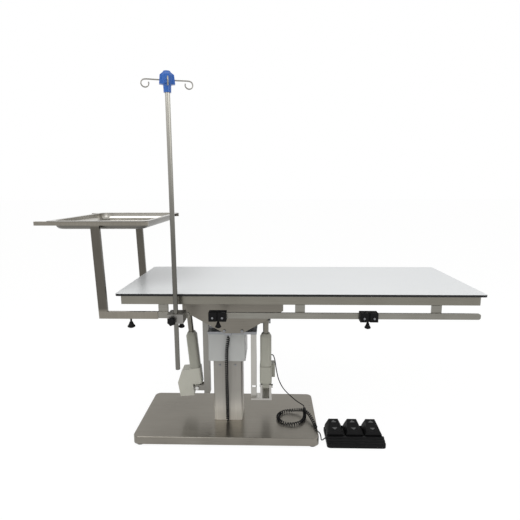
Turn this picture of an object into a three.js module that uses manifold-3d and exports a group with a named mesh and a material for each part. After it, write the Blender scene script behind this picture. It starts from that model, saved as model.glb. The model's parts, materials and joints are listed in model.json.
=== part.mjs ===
// Electric veterinary exam table: a white laminate top on a two-axis tilting head, carried by a lifting
// column on a steel base, with accessory rails, an infusion pole, an instrument tray and a foot switch.
// Millimetres, +Z up. X runs along the top and Y across it; the column stands on the local origin.
import * as THREE from 'three';
import { mergeVertices } from 'three/addons/utils/BufferGeometryUtils.js';
import { ConvexGeometry } from 'three/addons/geometries/ConvexGeometry.js';
import Module from 'manifold-3d';

const wasm = await Module();
wasm.setup();

// Clearances
const FIT = 0.3; // between seated or turning pieces
const PLAY = 0.4; // sliding play on a rail

// Table top and its frame
const TOP_LENGTH = 1500;
const TOP_WIDTH = 600;
const TOP_THICKNESS = 10;
const TOP_HEIGHT = 738; // upper face above the floor, column down
const TOP_OFFSET = 320; // middle of the top from the column axis
const TOP_CORNER = 12;
const FRAME_INSET_X = 15;
const FRAME_INSET_Y = 25;
const FRAME_HEIGHT = 40;
const FRAME_BAR = 25;
const CROSS_BAR = 40;
const FAR_CROSS_X = 650; // cross bar under the long overhang

// Accessory rails
const RAIL_HEIGHT = 25;
const RAIL_THICK = 10;
const RAIL_DROP = 32; // gap under the frame
const RAIL_END_RADIUS = 9;
const POST_WIDTH = 40;
const POST_FROM_END = 155;
const MID_POST_X = 325;
const SHORT_RAIL_LENGTH = 285;
const RAIL_BREAK = 81; // between the short and the long rail

// Base
const BASE_LENGTH = 850;
const BASE_WIDTH = 420;
const BASE_TOP = 47;
const BASE_CORNER = 28;
const COVER_SHEET = 2;
const COVER_EDGE = 4; // folded edge radius
const COVER_LIFT = 10; // skirt above the floor
const BALLAST_GAP = 3; // frame to the inside of the skirt
const BALLAST_HEIGHT = 30;
const BALLAST_BAR = 50;
const FOOT_PAD_RADIUS = 22;
const FOOT_PAD_HEIGHT = 8;
const FOOT_STEM_RADIUS = 6;
const FOOT_STEM_TOP = 38;

// Lifting column
const COLUMN_WIDTH = 137;
const COLUMN_DEPTH = 120;
const COLUMN_WALL = 5;
const COLUMN_CORNER = 9;
const COLUMN_TOP = 470;
const GLIDE_HEIGHT = 30;
const GLIDE_WALL = 4; // guide ring between the two tubes
const INNER_WALL = 5;
const INNER_BOTTOM = 88;
const SHROUD_WIDTH = 174;
const SHROUD_DEPTH = 170;
const SHROUD_WALL = 2;
const SHROUD_CORNER = 8;
const SHROUD_BOTTOM = 360;
const DRIVE_TUBE_RADIUS = 22;
const DRIVE_ROD_RADIUS = 15;
const DRIVE_BLOCK = 34; // height of the gear block

// Tilting head
const HEAD_BOTTOM = 493;
const HEAD_PLATE = 12;
const HEAD_LEFT = -88;
const HEAD_RIGHT = 140;
const HEAD_HALF_DEPTH = 90;
const PIVOT_Z = 596; // both tilt axes cross here
const SHAFT_RADIUS = 15; // lateral tilt shaft, along X
const TILT_SHAFT_RADIUS = 13; // lengthwise tilt shaft, along Y
const PEDESTAL_X = 68;
const PEDESTAL_THICK = 20;
const PEDESTAL_RADIUS = 28;
const HUB_HALF_X = 40;
const HUB_HALF = 29;
const HOUSING_HALF_DEPTH = 140;
const HOUSING_SHEET = 4;
const HOUSING_LEFT = -190;
const HOUSING_RIGHT = 260;
const HOUSING_KEEL = 516; // lowest edge of the tapered side plates
const HOUSING_SHOULDER = 621;
const KEEL_LEFT = -5;
const KEEL_RIGHT = 78;

// Tilt actuators
const PIN_RADIUS = 6;
const ROD_RADIUS = 13;
const EYE_RADIUS = 15;
const EYE_HALF = 13.5;
const TONGUE_HALF = 15.5;
const LUG_RADIUS = 14;
const CHEEK = 8;
const TUBE_WIDTH = 50;
const TUBE_DEPTH = 52;
const GEAR_BOTTOM = 24; // above the lower pin, along the actuator
const GEAR_TOP = 104;
const LONG_LOWER = new THREE.Vector3(-156, 0, 192);
const LONG_UPPER = new THREE.Vector3(-190, 0, 585);
const LONG_TUBE_TOP = 285;
const LATERAL_X = 182;
const LATERAL_Y = -85;
const LATERAL_LOWER_Z = 238;
const LATERAL_UPPER_Z = 560;
const LATERAL_TUBE_TOP = 262;

// Arms that carry the lower actuator pins
const LONG_ARM_LEFT = -122;
const LONG_ARM_RIGHT = -93;
const LONG_ARM_BOTTOM = 164;
const LATERAL_ARM_LEFT = 112;
const LATERAL_ARM_RIGHT = 138;
const LATERAL_ARM_BOTTOM = 170;
const ARM_DEPTH = 40;
const ARM_SHEET = 4;
const SHELF_Z = 176; // shelf under the lateral actuator
const SHELF_THICK = 8;
const SHELF_RIGHT = 210;
const CONTROL_FRONT = 15;
const CONTROL_DEPTH = 60;
const CONTROL_WIDTH = 46;
const CONTROL_TOP = 374;

// Infusion pole
const POLE_STAND = 35; // axis ahead of the rail's face
const POLE_RADIUS = 9.5;
const POLE_WALL = 1.5;
const POLE_BOTTOM = 424;
const POLE_TOP = 1529;
const HOOK_REACH = 96;
const HOOK_WIRE = 2.6;
const HOOK_RING = 14;
const HOOK_Z = 1549;
const HOOK_TURN = 290; // degrees of each open ring
const HEAD_TURN = 15; // degrees the hub and its wires are turned on the pole
const STAR_TURN = 23.5; // degrees the clamp screw points left of straight ahead

// Rail clamps
const CLAMP_WIDTH = 72;
const CLAMP_HEIGHT = 38;
const CLAMP_FRONT = 22; // ahead of the rail
const CLAMP_LIP = 6;
const CLAMP_B_X = 602;
const IV_CLAMP_WIDTH = 64;
const IV_CLAMP_GAP = 10; // clear of the rail post
const IV_CLAMP_WALL = 6; // ahead of the pole
const STAR_NECK = 7.1; // star grip clear of the clamp's face

// Instrument tray and its brackets
const SLEEVE_WALL = 2.1;
const SLEEVE_LENGTH = 245;
const BRACKET_POST = 36;
const BRACKET_LEAN = 12;
const BAR_HEIGHT = 16;
const BAR_TOP = 1030;
const BAR_LENGTH = 461;
const BAR_HANDLE = 48; // past the tray's left edge
const TRAY_REACH = 282; // left edge past the frame's end
const TRAY_LENGTH = 414;
const TRAY_OVERHANG = 7.5; // past the bars
const TRAY_RIM = 16;
const TRAY_SHEET = 2;
const TRAY_BOTTOM = 997;
const TRAY_EDGE = 20; // rounded lower edge
const TRAY_CORNER = 24;
const KNOB_FROM_POST = 115;

// Foot switch
const SWITCH_X = 594;
const SWITCH_FRONT = -208;
const SWITCH_REAR = -54;
const SWITCH_WIDTH = 266;
const PEDAL_PITCH = 88;
const PEDAL_PIVOT_Y = -104;
const PEDAL_PIVOT_Z = 21;
const PEDAL_PIVOT_RADIUS = 7;

// Cords
const WIRE_RADIUS = 2.5;
const CURL_RADIUS = 6; // wire centre from the axis of the curls
const COLUMN_CURLS = 46;
const FOOT_CURLS = 50;

// Levels and edges that follow from the sizes above
const topLeft = TOP_OFFSET - TOP_LENGTH / 2;
const frameLeft = topLeft + FRAME_INSET_X;
const frameRight = topLeft + TOP_LENGTH - FRAME_INSET_X;
const frameHalf = TOP_WIDTH / 2 - FRAME_INSET_Y;
const frameTop = TOP_HEIGHT - TOP_THICKNESS - FIT;
const frameBottom = frameTop - FRAME_HEIGHT;
const railTop = frameBottom - RAIL_DROP;
const railBottom = railTop - RAIL_HEIGHT;
const railMid = (railTop + railBottom) / 2;
const railY = frameHalf + RAIL_THICK / 2;
const shortRailEnd = frameLeft + SHORT_RAIL_LENGTH;
const longRailStart = shortRailEnd + RAIL_BREAK;
const headTop = HEAD_BOTTOM + HEAD_PLATE;
const coverUnder = BASE_TOP - COVER_SHEET;
const ballastTop = coverUnder - FIT;
const innerWidth = COLUMN_WIDTH - 2 * (COLUMN_WALL + GLIDE_WALL + FIT);
const innerDepth = COLUMN_DEPTH - 2 * (COLUMN_WALL + GLIDE_WALL + FIT);
const sleeveHalfZ = RAIL_HEIGHT / 2 + PLAY + SLEEVE_WALL;
const sleeveHalfY = RAIL_THICK / 2 + PLAY + SLEEVE_WALL;
const sleeveRight = frameLeft + POST_FROM_END - FIT;
const sleeveLeft = sleeveRight - SLEEVE_LENGTH;
const trayKnobX = frameLeft + POST_FROM_END - KNOB_FROM_POST;
const trayLeft = frameLeft - TRAY_REACH;
const trayWidth = 2 * (railY + sleeveHalfY + TRAY_OVERHANG);
const barLeft = trayLeft - BAR_HANDLE;
const clampAX = longRailStart + CLAMP_WIDTH / 2;
const ivClampLeft = frameLeft + POST_FROM_END + POST_WIDTH + IV_CLAMP_GAP;
const ivClampRight = ivClampLeft + IV_CLAMP_WIDTH;
const poleX = (ivClampLeft + ivClampRight) / 2;
const poleY = -frameHalf - RAIL_THICK - POLE_STAND;

// Materials
const finish = (color, roughness, metalness) =>
  new THREE.MeshStandardMaterial({ color, roughness, metalness });
const stainless = finish(0xb9b7b0, 0.32, 1);
const galvanised = finish(0x8f9194, 0.5, 1);
const paintedGrey = finish(0xc4c5c4, 0.45, 0);
const aluminium = finish(0xa9a9a6, 0.4, 1);
const laminate = finish(0xe9edf0, 0.3, 0);
const motorPlastic = finish(0xc9c9c1, 0.5, 0);
const blackPlastic = finish(0x16171a, 0.5, 0);
const bluePlastic = finish(0x1f4fb5, 0.35, 0);
const rubber = finish(0x1b1b1c, 0.8, 0);
const brightSteel = finish(0xd0d0cc, 0.2, 1);

// Solid helpers
function toSolid(geometry) {
  const bare = new THREE.BufferGeometry();
  const flat = geometry.index ? geometry.toNonIndexed() : geometry;
  bare.setAttribute('position', flat.getAttribute('position'));
  const merged = mergeVertices(bare, 1e-3);
  const corners = merged.index.array;
  const kept = [];
  for (let i = 0; i < corners.length; i += 3) {
    const [a, b, c] = [corners[i], corners[i + 1], corners[i + 2]];
    if (a !== b && b !== c && c !== a) kept.push(a, b, c);
  }
  const mesh = new wasm.Mesh({
    numProp: 3,
    vertProperties: Float32Array.from(merged.attributes.position.array),
    triVerts: Uint32Array.from(kept),
  });
  return new wasm.Manifold(mesh);
}

function toGeometry(solid) {
  const mesh = solid.getMesh();
  const geometry = new THREE.BufferGeometry();
  geometry.setAttribute('position', new THREE.BufferAttribute(Float32Array.from(mesh.vertProperties), 3));
  geometry.setIndex(new THREE.BufferAttribute(Uint32Array.from(mesh.triVerts), 1));
  return geometry;
}

const join = (...bodies) => toGeometry(bodies.map(toSolid).reduce((whole, body) => whole.add(body)));
const cut = (...bodies) => toGeometry(bodies.map(toSolid).reduce((rest, tool) => rest.subtract(tool)));

// Shape helpers
function roundedRect(width, height, radius, cx = 0, cy = 0) {
  const shape = new THREE.Shape();
  const x = width / 2 - radius;
  const y = height / 2 - radius;
  shape.absarc(cx + x, cy - y, radius, -Math.PI / 2, 0, false);
  shape.absarc(cx + x, cy + y, radius, 0, Math.PI / 2, false);
  shape.absarc(cx - x, cy + y, radius, Math.PI / 2, Math.PI, false);
  shape.absarc(cx - x, cy - y, radius, Math.PI, 1.5 * Math.PI, false);
  shape.closePath();
  return shape;
}

const outline = (...points) => new THREE.Shape(points.map(([x, y]) => new THREE.Vector2(x, y)));

function slab(shape, bottom, top, curveSegments = 2) {
  const options = { depth: top - bottom, bevelEnabled: false, curveSegments };
  return new THREE.ExtrudeGeometry(shape, options).translate(0, 0, bottom);
}

// A shape drawn in X and Z, extruded between two values of Y
function acrossY(shape, front, back, curveSegments = 5) {
  return slab(shape, 0, back - front, curveSegments).rotateX(Math.PI / 2).translate(0, back, 0);
}

// A shape drawn in Y and Z, extruded between two values of X
function alongX(shape, left, right, curveSegments = 5) {
  const turn = new THREE.Matrix4().makeBasis(
    new THREE.Vector3(0, 1, 0), new THREE.Vector3(0, 0, 1), new THREE.Vector3(1, 0, 0));
  return slab(shape, 0, right - left, curveSegments).applyMatrix4(turn).translate(left, 0, 0);
}

function block(left, right, front, back, bottom, top) {
  return new THREE.BoxGeometry(right - left, back - front, top - bottom)
    .translate((left + right) / 2, (front + back) / 2, (bottom + top) / 2);
}

// A round bar between two points
function bar(radius, start, end, sides = 20) {
  const axis = new THREE.Vector3().subVectors(end, start);
  const upright = new THREE.Vector3(0, 1, 0);
  const turn = new THREE.Quaternion().setFromUnitVectors(upright, axis.clone().normalize());
  return new THREE.CylinderGeometry(radius, radius, axis.length(), sides)
    .translate(0, axis.length() / 2, 0).applyQuaternion(turn).translate(start.x, start.y, start.z);
}

const at = (x, y, z) => new THREE.Vector3(x, y, z);

// A turned piece about Z; the profile of [radius, height] starts and ends on the axis
function turned(profile, sides = 20) {
  const points = profile.map(([radius, height]) => new THREE.Vector2(radius, height));
  return new THREE.LatheGeometry(points, sides).rotateX(Math.PI / 2);
}

// A round-ended slot or link between two points of a plane
function link(ax, ay, aRadius, bx, by, bRadius) {
  const length = Math.hypot(bx - ax, by - ay);
  const heading = Math.atan2(by - ay, bx - ax);
  const spread = Math.acos((aRadius - bRadius) / length);
  const shape = new THREE.Shape();
  shape.absarc(ax, ay, aRadius, heading + spread, heading - spread + 2 * Math.PI, false);
  shape.absarc(bx, by, bRadius, heading - spread, heading + spread, false);
  shape.closePath();
  return shape;
}

// A round wire along a curve
function wire(curve, radius, steps, sides) {
  const section = new THREE.Shape().absarc(0, 0, radius, 0, 2 * Math.PI, false);
  return new THREE.ExtrudeGeometry(section, { steps, extrudePath: curve, curveSegments: sides / 2 });
}

const route = (points) =>
  new THREE.CatmullRomCurve3(points.map(([x, y, z]) => at(x, y, z)), false, 'centripetal');

const model = new THREE.Group();

function part(name, geometry, material, parent = model) {
  const mesh = new THREE.Mesh(toGeometry(toSolid(geometry)), material);
  mesh.name = name;
  parent.add(mesh);
  return mesh;
}

// Base: folded stainless cover over a ballast frame on four levelling feet
const cordHole = at(-2, -76, 0);
const ballastHalfX = BASE_LENGTH / 2 - COVER_SHEET - BALLAST_GAP;
const ballastHalfY = BASE_WIDTH / 2 - COVER_SHEET - BALLAST_GAP;
const footX = ballastHalfX - BALLAST_BAR / 2;
const footY = ballastHalfY - BALLAST_BAR / 2;
const inletX = 200;
const inletZ = (COVER_LIFT + coverUnder) / 2;
const inletWidth = 28;
const inletHeight = 22;
const inletDepth = 26;

function baseCover() {
  const plan = (inset) =>
    roundedRect(BASE_LENGTH - 2 * inset, BASE_WIDTH - 2 * inset, BASE_CORNER - inset);
  const outer = new THREE.ExtrudeGeometry(plan(COVER_EDGE), {
    depth: BASE_TOP - COVER_EDGE,
    bevelThickness: COVER_EDGE,
    bevelSize: COVER_EDGE,
    bevelSegments: 2,
    curveSegments: 3,
  });
  const columnHole = roundedRect(COLUMN_WIDTH + 2 * FIT, COLUMN_DEPTH + 2 * FIT, COLUMN_CORNER + FIT);
  return cut(
    outer,
    slab(plan(COVER_SHEET), -2 * COVER_EDGE, coverUnder, 3),
    block(-BASE_LENGTH, BASE_LENGTH, -BASE_WIDTH, BASE_WIDTH, -2 * COVER_EDGE, COVER_LIFT),
    slab(columnHole, coverUnder - 1, BASE_TOP + 1),
    bar(WIRE_RADIUS + 2 * FIT, cordHole, at(cordHole.x, cordHole.y, BASE_TOP + 1), 12),
    block(inletX - inletWidth / 2 - FIT, inletX + inletWidth / 2 + FIT,
      BASE_WIDTH / 2 - 10, BASE_WIDTH / 2 + 10,
      inletZ - inletHeight / 2 - FIT, inletZ + inletHeight / 2 + FIT),
  );
}

function ballastFrame() {
  const plate = roundedRect(2 * ballastHalfX, 2 * ballastHalfY, BASE_CORNER - COVER_SHEET - BALLAST_GAP);
  const windowY = ballastHalfY - BALLAST_BAR;
  const windowOut = ballastHalfX - BALLAST_BAR;
  const windowIn = COLUMN_WIDTH / 2 + BALLAST_BAR;
  const windows = [
    block(-windowOut, -windowIn, -windowY, windowY, 0, BASE_TOP),
    block(windowIn, windowOut, -windowY, windowY, 0, BASE_TOP),
    block(-COLUMN_WIDTH / 2, COLUMN_WIDTH / 2, -windowY, -COLUMN_DEPTH / 2 - 8, 0, BASE_TOP),
  ];
  const stems = [-footX, footX].flatMap((x) => [-footY, footY].map((y) =>
    bar(FOOT_STEM_RADIUS + FIT, at(x, y, 0), at(x, y, BASE_TOP), 16)));
  const notch = block(inletX - inletWidth, inletX + inletWidth, BASE_WIDTH / 2 - COVER_SHEET - inletDepth - 6,
    BASE_WIDTH / 2, 0, BASE_TOP);
  return cut(slab(plate, ballastTop - BALLAST_HEIGHT, ballastTop), ...windows, ...stems, notch);
}

part('base_cover', baseCover(), stainless);
part('base_frame', ballastFrame(), galvanised);
for (const [row, y] of [['front', -footY], ['rear', footY]]) {
  for (const [side, x] of [['left', -footX], ['right', footX]]) {
    const foot = turned([
      [0, 0], [FOOT_PAD_RADIUS - 2, 0], [FOOT_PAD_RADIUS, 2], [FOOT_PAD_RADIUS - 3, FOOT_PAD_HEIGHT],
      [FOOT_STEM_RADIUS, FOOT_PAD_HEIGHT + 2], [FOOT_STEM_RADIUS, FOOT_STEM_TOP], [0, FOOT_STEM_TOP],
    ], 16);
    part(`foot_${row}_${side}`, foot.translate(x, y, 0), rubber);
  }
}
const inletFace = BASE_WIDTH / 2 + 2;
part('mains_inlet', cut(
  join(
    block(inletX - inletWidth / 2, inletX + inletWidth / 2, inletFace - inletDepth, inletFace,
      inletZ - inletHeight / 2, inletZ + inletHeight / 2),
    block(inletX - inletWidth / 2 - 5, inletX + inletWidth / 2 + 5, BASE_WIDTH / 2 + FIT, inletFace,
      inletZ - inletHeight / 2 - 3, inletZ + inletHeight / 2 + 3),
  ),
  block(inletX - inletWidth / 2 + 3, inletX + inletWidth / 2 - 3, inletFace - 16, inletFace + 1,
    inletZ - inletHeight / 2 + 3, inletZ + inletHeight / 2 - 3),
), blackPlastic);

// Lifting column: outer tube, guide ring, drive, inner tube and shroud
function tubeWall(width, depth, corner, wall, bottom, top) {
  const section = roundedRect(width, depth, corner);
  section.holes.push(roundedRect(width - 2 * wall, depth - 2 * wall, Math.max(corner - wall, 2)));
  return slab(section, bottom, top, 2);
}

const columnFoot = ballastTop + FIT;
part('column_outer', tubeWall(COLUMN_WIDTH, COLUMN_DEPTH, COLUMN_CORNER, COLUMN_WALL,
  columnFoot, COLUMN_TOP), aluminium);
const glideWidth = COLUMN_WIDTH - 2 * (COLUMN_WALL + FIT);
const glideDepth = COLUMN_DEPTH - 2 * (COLUMN_WALL + FIT);
part('column_glide', tubeWall(glideWidth, glideDepth, COLUMN_CORNER - COLUMN_WALL, GLIDE_WALL - FIT,
  COLUMN_TOP - GLIDE_HEIGHT, COLUMN_TOP), blackPlastic);
part('column_inner', tubeWall(innerWidth, innerDepth, COLUMN_CORNER - 2, INNER_WALL,
  INNER_BOTTOM, HEAD_BOTTOM - FIT), aluminium);
part('column_shroud', tubeWall(SHROUD_WIDTH, SHROUD_DEPTH, SHROUD_CORNER, SHROUD_WALL,
  SHROUD_BOTTOM, HEAD_BOTTOM - FIT), paintedGrey);

const driveTop = COLUMN_TOP - 30;
const driveBlockTop = columnFoot + DRIVE_BLOCK;
const driveBore = DRIVE_ROD_RADIUS + FIT;
const driveFloor = driveBlockTop + 14;
const driveInset = 2 * INNER_WALL + 12;
part('lift_drive', join(
  slab(roundedRect(innerWidth - driveInset, innerDepth - driveInset, 10), columnFoot, driveBlockTop),
  turned([
    [0, driveBlockTop - 4], [DRIVE_TUBE_RADIUS, driveBlockTop - 4], [DRIVE_TUBE_RADIUS, driveTop],
    [driveBore, driveTop], [driveBore, driveFloor], [0, driveFloor],
  ]),
), galvanised);
part('lift_push_rod', bar(DRIVE_ROD_RADIUS, at(0, 0, driveFloor + 8), at(0, 0, HEAD_BOTTOM - FIT)),
  brightSteel);

// Lift head: plate with two bearing pedestals and a front tab that holds the curly cord
const tabX = 8;
const tabFront = -107;
function liftHead() {
  const profile = link(0, PIVOT_Z, PEDESTAL_RADIUS, 0, headTop - 60, PEDESTAL_RADIUS + 16);
  const pedestals = [-PEDESTAL_X, PEDESTAL_X].map((x) =>
    alongX(profile, x - PEDESTAL_THICK / 2, x + PEDESTAL_THICK / 2));
  const body = join(
    block(HEAD_LEFT, HEAD_RIGHT, -HEAD_HALF_DEPTH, HEAD_HALF_DEPTH, HEAD_BOTTOM, headTop),
    block(tabX - 16, tabX + 16, tabFront, -HEAD_HALF_DEPTH + 2, HEAD_BOTTOM, headTop),
    ...pedestals,
  );
  return cut(
    body,
    block(HEAD_LEFT - 9, HEAD_RIGHT, -200, 200, 0, HEAD_BOTTOM),
    bar(SHAFT_RADIUS + FIT, at(-200, 0, PIVOT_Z), at(200, 0, PIVOT_Z)),
  );
}
part('lift_head', liftHead(), galvanised);

// Lateral arm: channel hung under the head, with a shelf and a clevis for the lateral actuator
const armFront = -HEAD_HALF_DEPTH;
const armBack = armFront + ARM_DEPTH;
const shelfTop = SHELF_Z + SHELF_THICK;
const cheekIn = TONGUE_HALF + 0.5;
const clevisFront = LATERAL_Y - ARM_DEPTH / 2;
const clevisBack = LATERAL_Y + ARM_DEPTH / 2;
function lateralArm() {
  const channel = outline(
    [LATERAL_ARM_LEFT, armFront], [LATERAL_ARM_RIGHT, armFront], [LATERAL_ARM_RIGHT, armBack],
    [LATERAL_ARM_RIGHT - ARM_SHEET, armBack], [LATERAL_ARM_RIGHT - ARM_SHEET, armFront + ARM_SHEET],
    [LATERAL_ARM_LEFT + ARM_SHEET, armFront + ARM_SHEET], [LATERAL_ARM_LEFT + ARM_SHEET, armBack],
    [LATERAL_ARM_LEFT, armBack],
  );
  const cheek = new THREE.Shape();
  cheek.moveTo(clevisFront, shelfTop - 1);
  cheek.lineTo(clevisBack, shelfTop - 1);
  cheek.absarc(LATERAL_Y, LATERAL_LOWER_Z, LUG_RADIUS + 2, 0, Math.PI, false);
  cheek.closePath();
  const cheeks = [-1, 1].map((side) => {
    const inner = LATERAL_X + side * cheekIn;
    const outer = inner + side * (CHEEK + 2);
    return alongX(cheek, Math.min(inner, outer), Math.max(inner, outer));
  });
  const body = join(
    slab(channel, LATERAL_ARM_BOTTOM, HEAD_BOTTOM - FIT),
    block(LATERAL_ARM_LEFT + 1, SHELF_RIGHT, clevisFront, armBack, SHELF_Z, shelfTop),
    block(LATERAL_X - CONTROL_WIDTH / 2, LATERAL_X + CONTROL_WIDTH / 2,
      armBack - 1, CONTROL_FRONT + CONTROL_DEPTH, SHELF_Z, shelfTop),
    ...cheeks,
  );
  const alongPin = (x) => at(x, LATERAL_Y, LATERAL_LOWER_Z);
  return cut(body, bar(PIN_RADIUS + FIT, alongPin(100), alongPin(260)));
}
part('lateral_arm', lateralArm(), stainless);
const pinOut = cheekIn + CHEEK + 2;
part('lateral_lower_pin', join(
  bar(PIN_RADIUS, at(LATERAL_X - pinOut - 3, LATERAL_Y, LATERAL_LOWER_Z),
    at(LATERAL_X + pinOut + 4, LATERAL_Y, LATERAL_LOWER_Z), 16),
  bar(PIN_RADIUS + 4, at(LATERAL_X + pinOut + FIT, LATERAL_Y, LATERAL_LOWER_Z),
    at(LATERAL_X + pinOut + 7, LATERAL_Y, LATERAL_LOWER_Z), 6),
), brightSteel);
part('control_box', cut(
  slab(roundedRect(CONTROL_WIDTH, CONTROL_DEPTH, 6, LATERAL_X, CONTROL_FRONT + CONTROL_DEPTH / 2),
    shelfTop + FIT, CONTROL_TOP),
  block(LATERAL_X - 14, LATERAL_X + 14, CONTROL_FRONT - 1, CONTROL_FRONT + 2,
    shelfTop + 20, CONTROL_TOP - 20),
), motorPlastic);

// Cradle: lateral shaft with its hub, lengthwise shaft, hanging arm and lateral lever
const leverOut = EYE_HALF + 0.5 + CHEEK;
const leverLeft = LATERAL_X - leverOut;
const leverRight = LATERAL_X + leverOut;
part('cradle_shaft', cut(
  join(
    bar(SHAFT_RADIUS, at(LONG_ARM_LEFT, 0, PIVOT_Z), at(leverRight, 0, PIVOT_Z)),
    alongX(roundedRect(2 * HUB_HALF, 2 * HUB_HALF, 10, 0, PIVOT_Z), -HUB_HALF_X, HUB_HALF_X, 3),
  ),
  bar(TILT_SHAFT_RADIUS + FIT, at(0, -100, PIVOT_Z), at(0, 100, PIVOT_Z)),
), galvanised);
const tiltShaftEnd = HOUSING_HALF_DEPTH + 7;
part('tilt_shaft', bar(TILT_SHAFT_RADIUS, at(0, -tiltShaftEnd, PIVOT_Z), at(0, tiltShaftEnd, PIVOT_Z)),
  brightSteel);

function longArm() {
  const flangeIn = cheekIn;
  const flangeOut = flangeIn + ARM_SHEET;
  const footEnd = LONG_ARM_RIGHT - LUG_RADIUS;
  const foot = link(LONG_LOWER.x, LONG_LOWER.z, LUG_RADIUS, footEnd, LONG_LOWER.z, LUG_RADIUS);
  const webLeft = LONG_ARM_RIGHT - ARM_SHEET;
  const pieces = [block(webLeft, LONG_ARM_RIGHT, -flangeOut, flangeOut, LONG_ARM_BOTTOM, PIVOT_Z)];
  for (const front of [-flangeOut, flangeIn]) {
    pieces.push(block(LONG_ARM_LEFT, LONG_ARM_RIGHT, front, front + ARM_SHEET, LONG_ARM_BOTTOM, PIVOT_Z));
    pieces.push(acrossY(foot, front, front + ARM_SHEET));
  }
  pieces.push(bar(SHAFT_RADIUS + 10, at(LONG_ARM_LEFT, 0, PIVOT_Z), at(LONG_ARM_RIGHT, 0, PIVOT_Z)));
  return cut(
    join(...pieces),
    bar(SHAFT_RADIUS + FIT, at(LONG_ARM_LEFT - 5, 0, PIVOT_Z), at(LONG_ARM_RIGHT + 5, 0, PIVOT_Z)),
    bar(PIN_RADIUS + FIT, at(LONG_LOWER.x, -60, LONG_LOWER.z), at(LONG_LOWER.x, 60, LONG_LOWER.z), 16),
  );
}
part('long_arm', longArm(), stainless);
const longPinOut = cheekIn + ARM_SHEET;
const alongLongPin = (y) => at(LONG_LOWER.x, y, LONG_LOWER.z);
part('long_lower_pin', join(
  bar(PIN_RADIUS, alongLongPin(-longPinOut - 4), alongLongPin(longPinOut + 4), 16),
  bar(PIN_RADIUS + 4, alongLongPin(-longPinOut - 7), alongLongPin(-longPinOut - FIT), 6),
), brightSteel);

function lateralLever() {
  const profile = link(0, PIVOT_Z, SHAFT_RADIUS + 11, LATERAL_Y, LATERAL_UPPER_Z, LUG_RADIUS);
  const slotHalf = EYE_HALF + 0.5;
  const slot = block(LATERAL_X - slotHalf, LATERAL_X + slotHalf, LATERAL_Y - 40, LATERAL_Y + 46, 0, 700);
  const fork = cut(
    alongX(profile, leverLeft, leverRight),
    slot,
    bar(SHAFT_RADIUS + FIT, at(leverLeft - 5, 0, PIVOT_Z), at(leverRight + 5, 0, PIVOT_Z)),
  );
  const alongPin = (x) => at(x, LATERAL_Y, LATERAL_UPPER_Z);
  return join(fork, bar(PIN_RADIUS, alongPin(leverLeft), alongPin(leverRight), 16));
}
part('lateral_lever', lateralLever(), galvanised);

// Tilt housing: folded sheet under the frame, tapered to a keel, with the lug of the lengthwise actuator
const housingTop = frameBottom - FIT;
function tiltHousing() {
  const side = outline(
    [HOUSING_LEFT, housingTop], [HOUSING_LEFT, HOUSING_SHOULDER], [KEEL_LEFT, HOUSING_KEEL],
    [KEEL_RIGHT, HOUSING_KEEL], [HOUSING_RIGHT, HOUSING_SHOULDER], [HOUSING_RIGHT, housingTop],
  );
  const inside = HOUSING_HALF_DEPTH - HOUSING_SHEET;
  const shell = cut(
    acrossY(side, -HOUSING_HALF_DEPTH, HOUSING_HALF_DEPTH),
    block(HOUSING_LEFT - 20, HOUSING_RIGHT + 20, -inside, inside,
      HOUSING_KEEL - 20, housingTop - HOUSING_SHEET),
    bar(TILT_SHAFT_RADIUS + FIT, at(0, -200, PIVOT_Z), at(0, 200, PIVOT_Z)),
  );
  const lug = new THREE.Shape();
  lug.moveTo(HOUSING_LEFT + 40, housingTop - 1);
  lug.lineTo(HOUSING_LEFT, housingTop - 1);
  lug.absarc(LONG_UPPER.x, LONG_UPPER.z, LUG_RADIUS, Math.PI, 2 * Math.PI, false);
  lug.closePath();
  const near = EYE_HALF + 0.5;
  const far = near + CHEEK;
  return join(
    shell,
    acrossY(lug, -far, -near),
    acrossY(lug, near, far),
    bar(PIN_RADIUS, at(LONG_UPPER.x, -far, LONG_UPPER.z), at(LONG_UPPER.x, far, LONG_UPPER.z), 16),
  );
}
part('tilt_housing', tiltHousing(), stainless);

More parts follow.
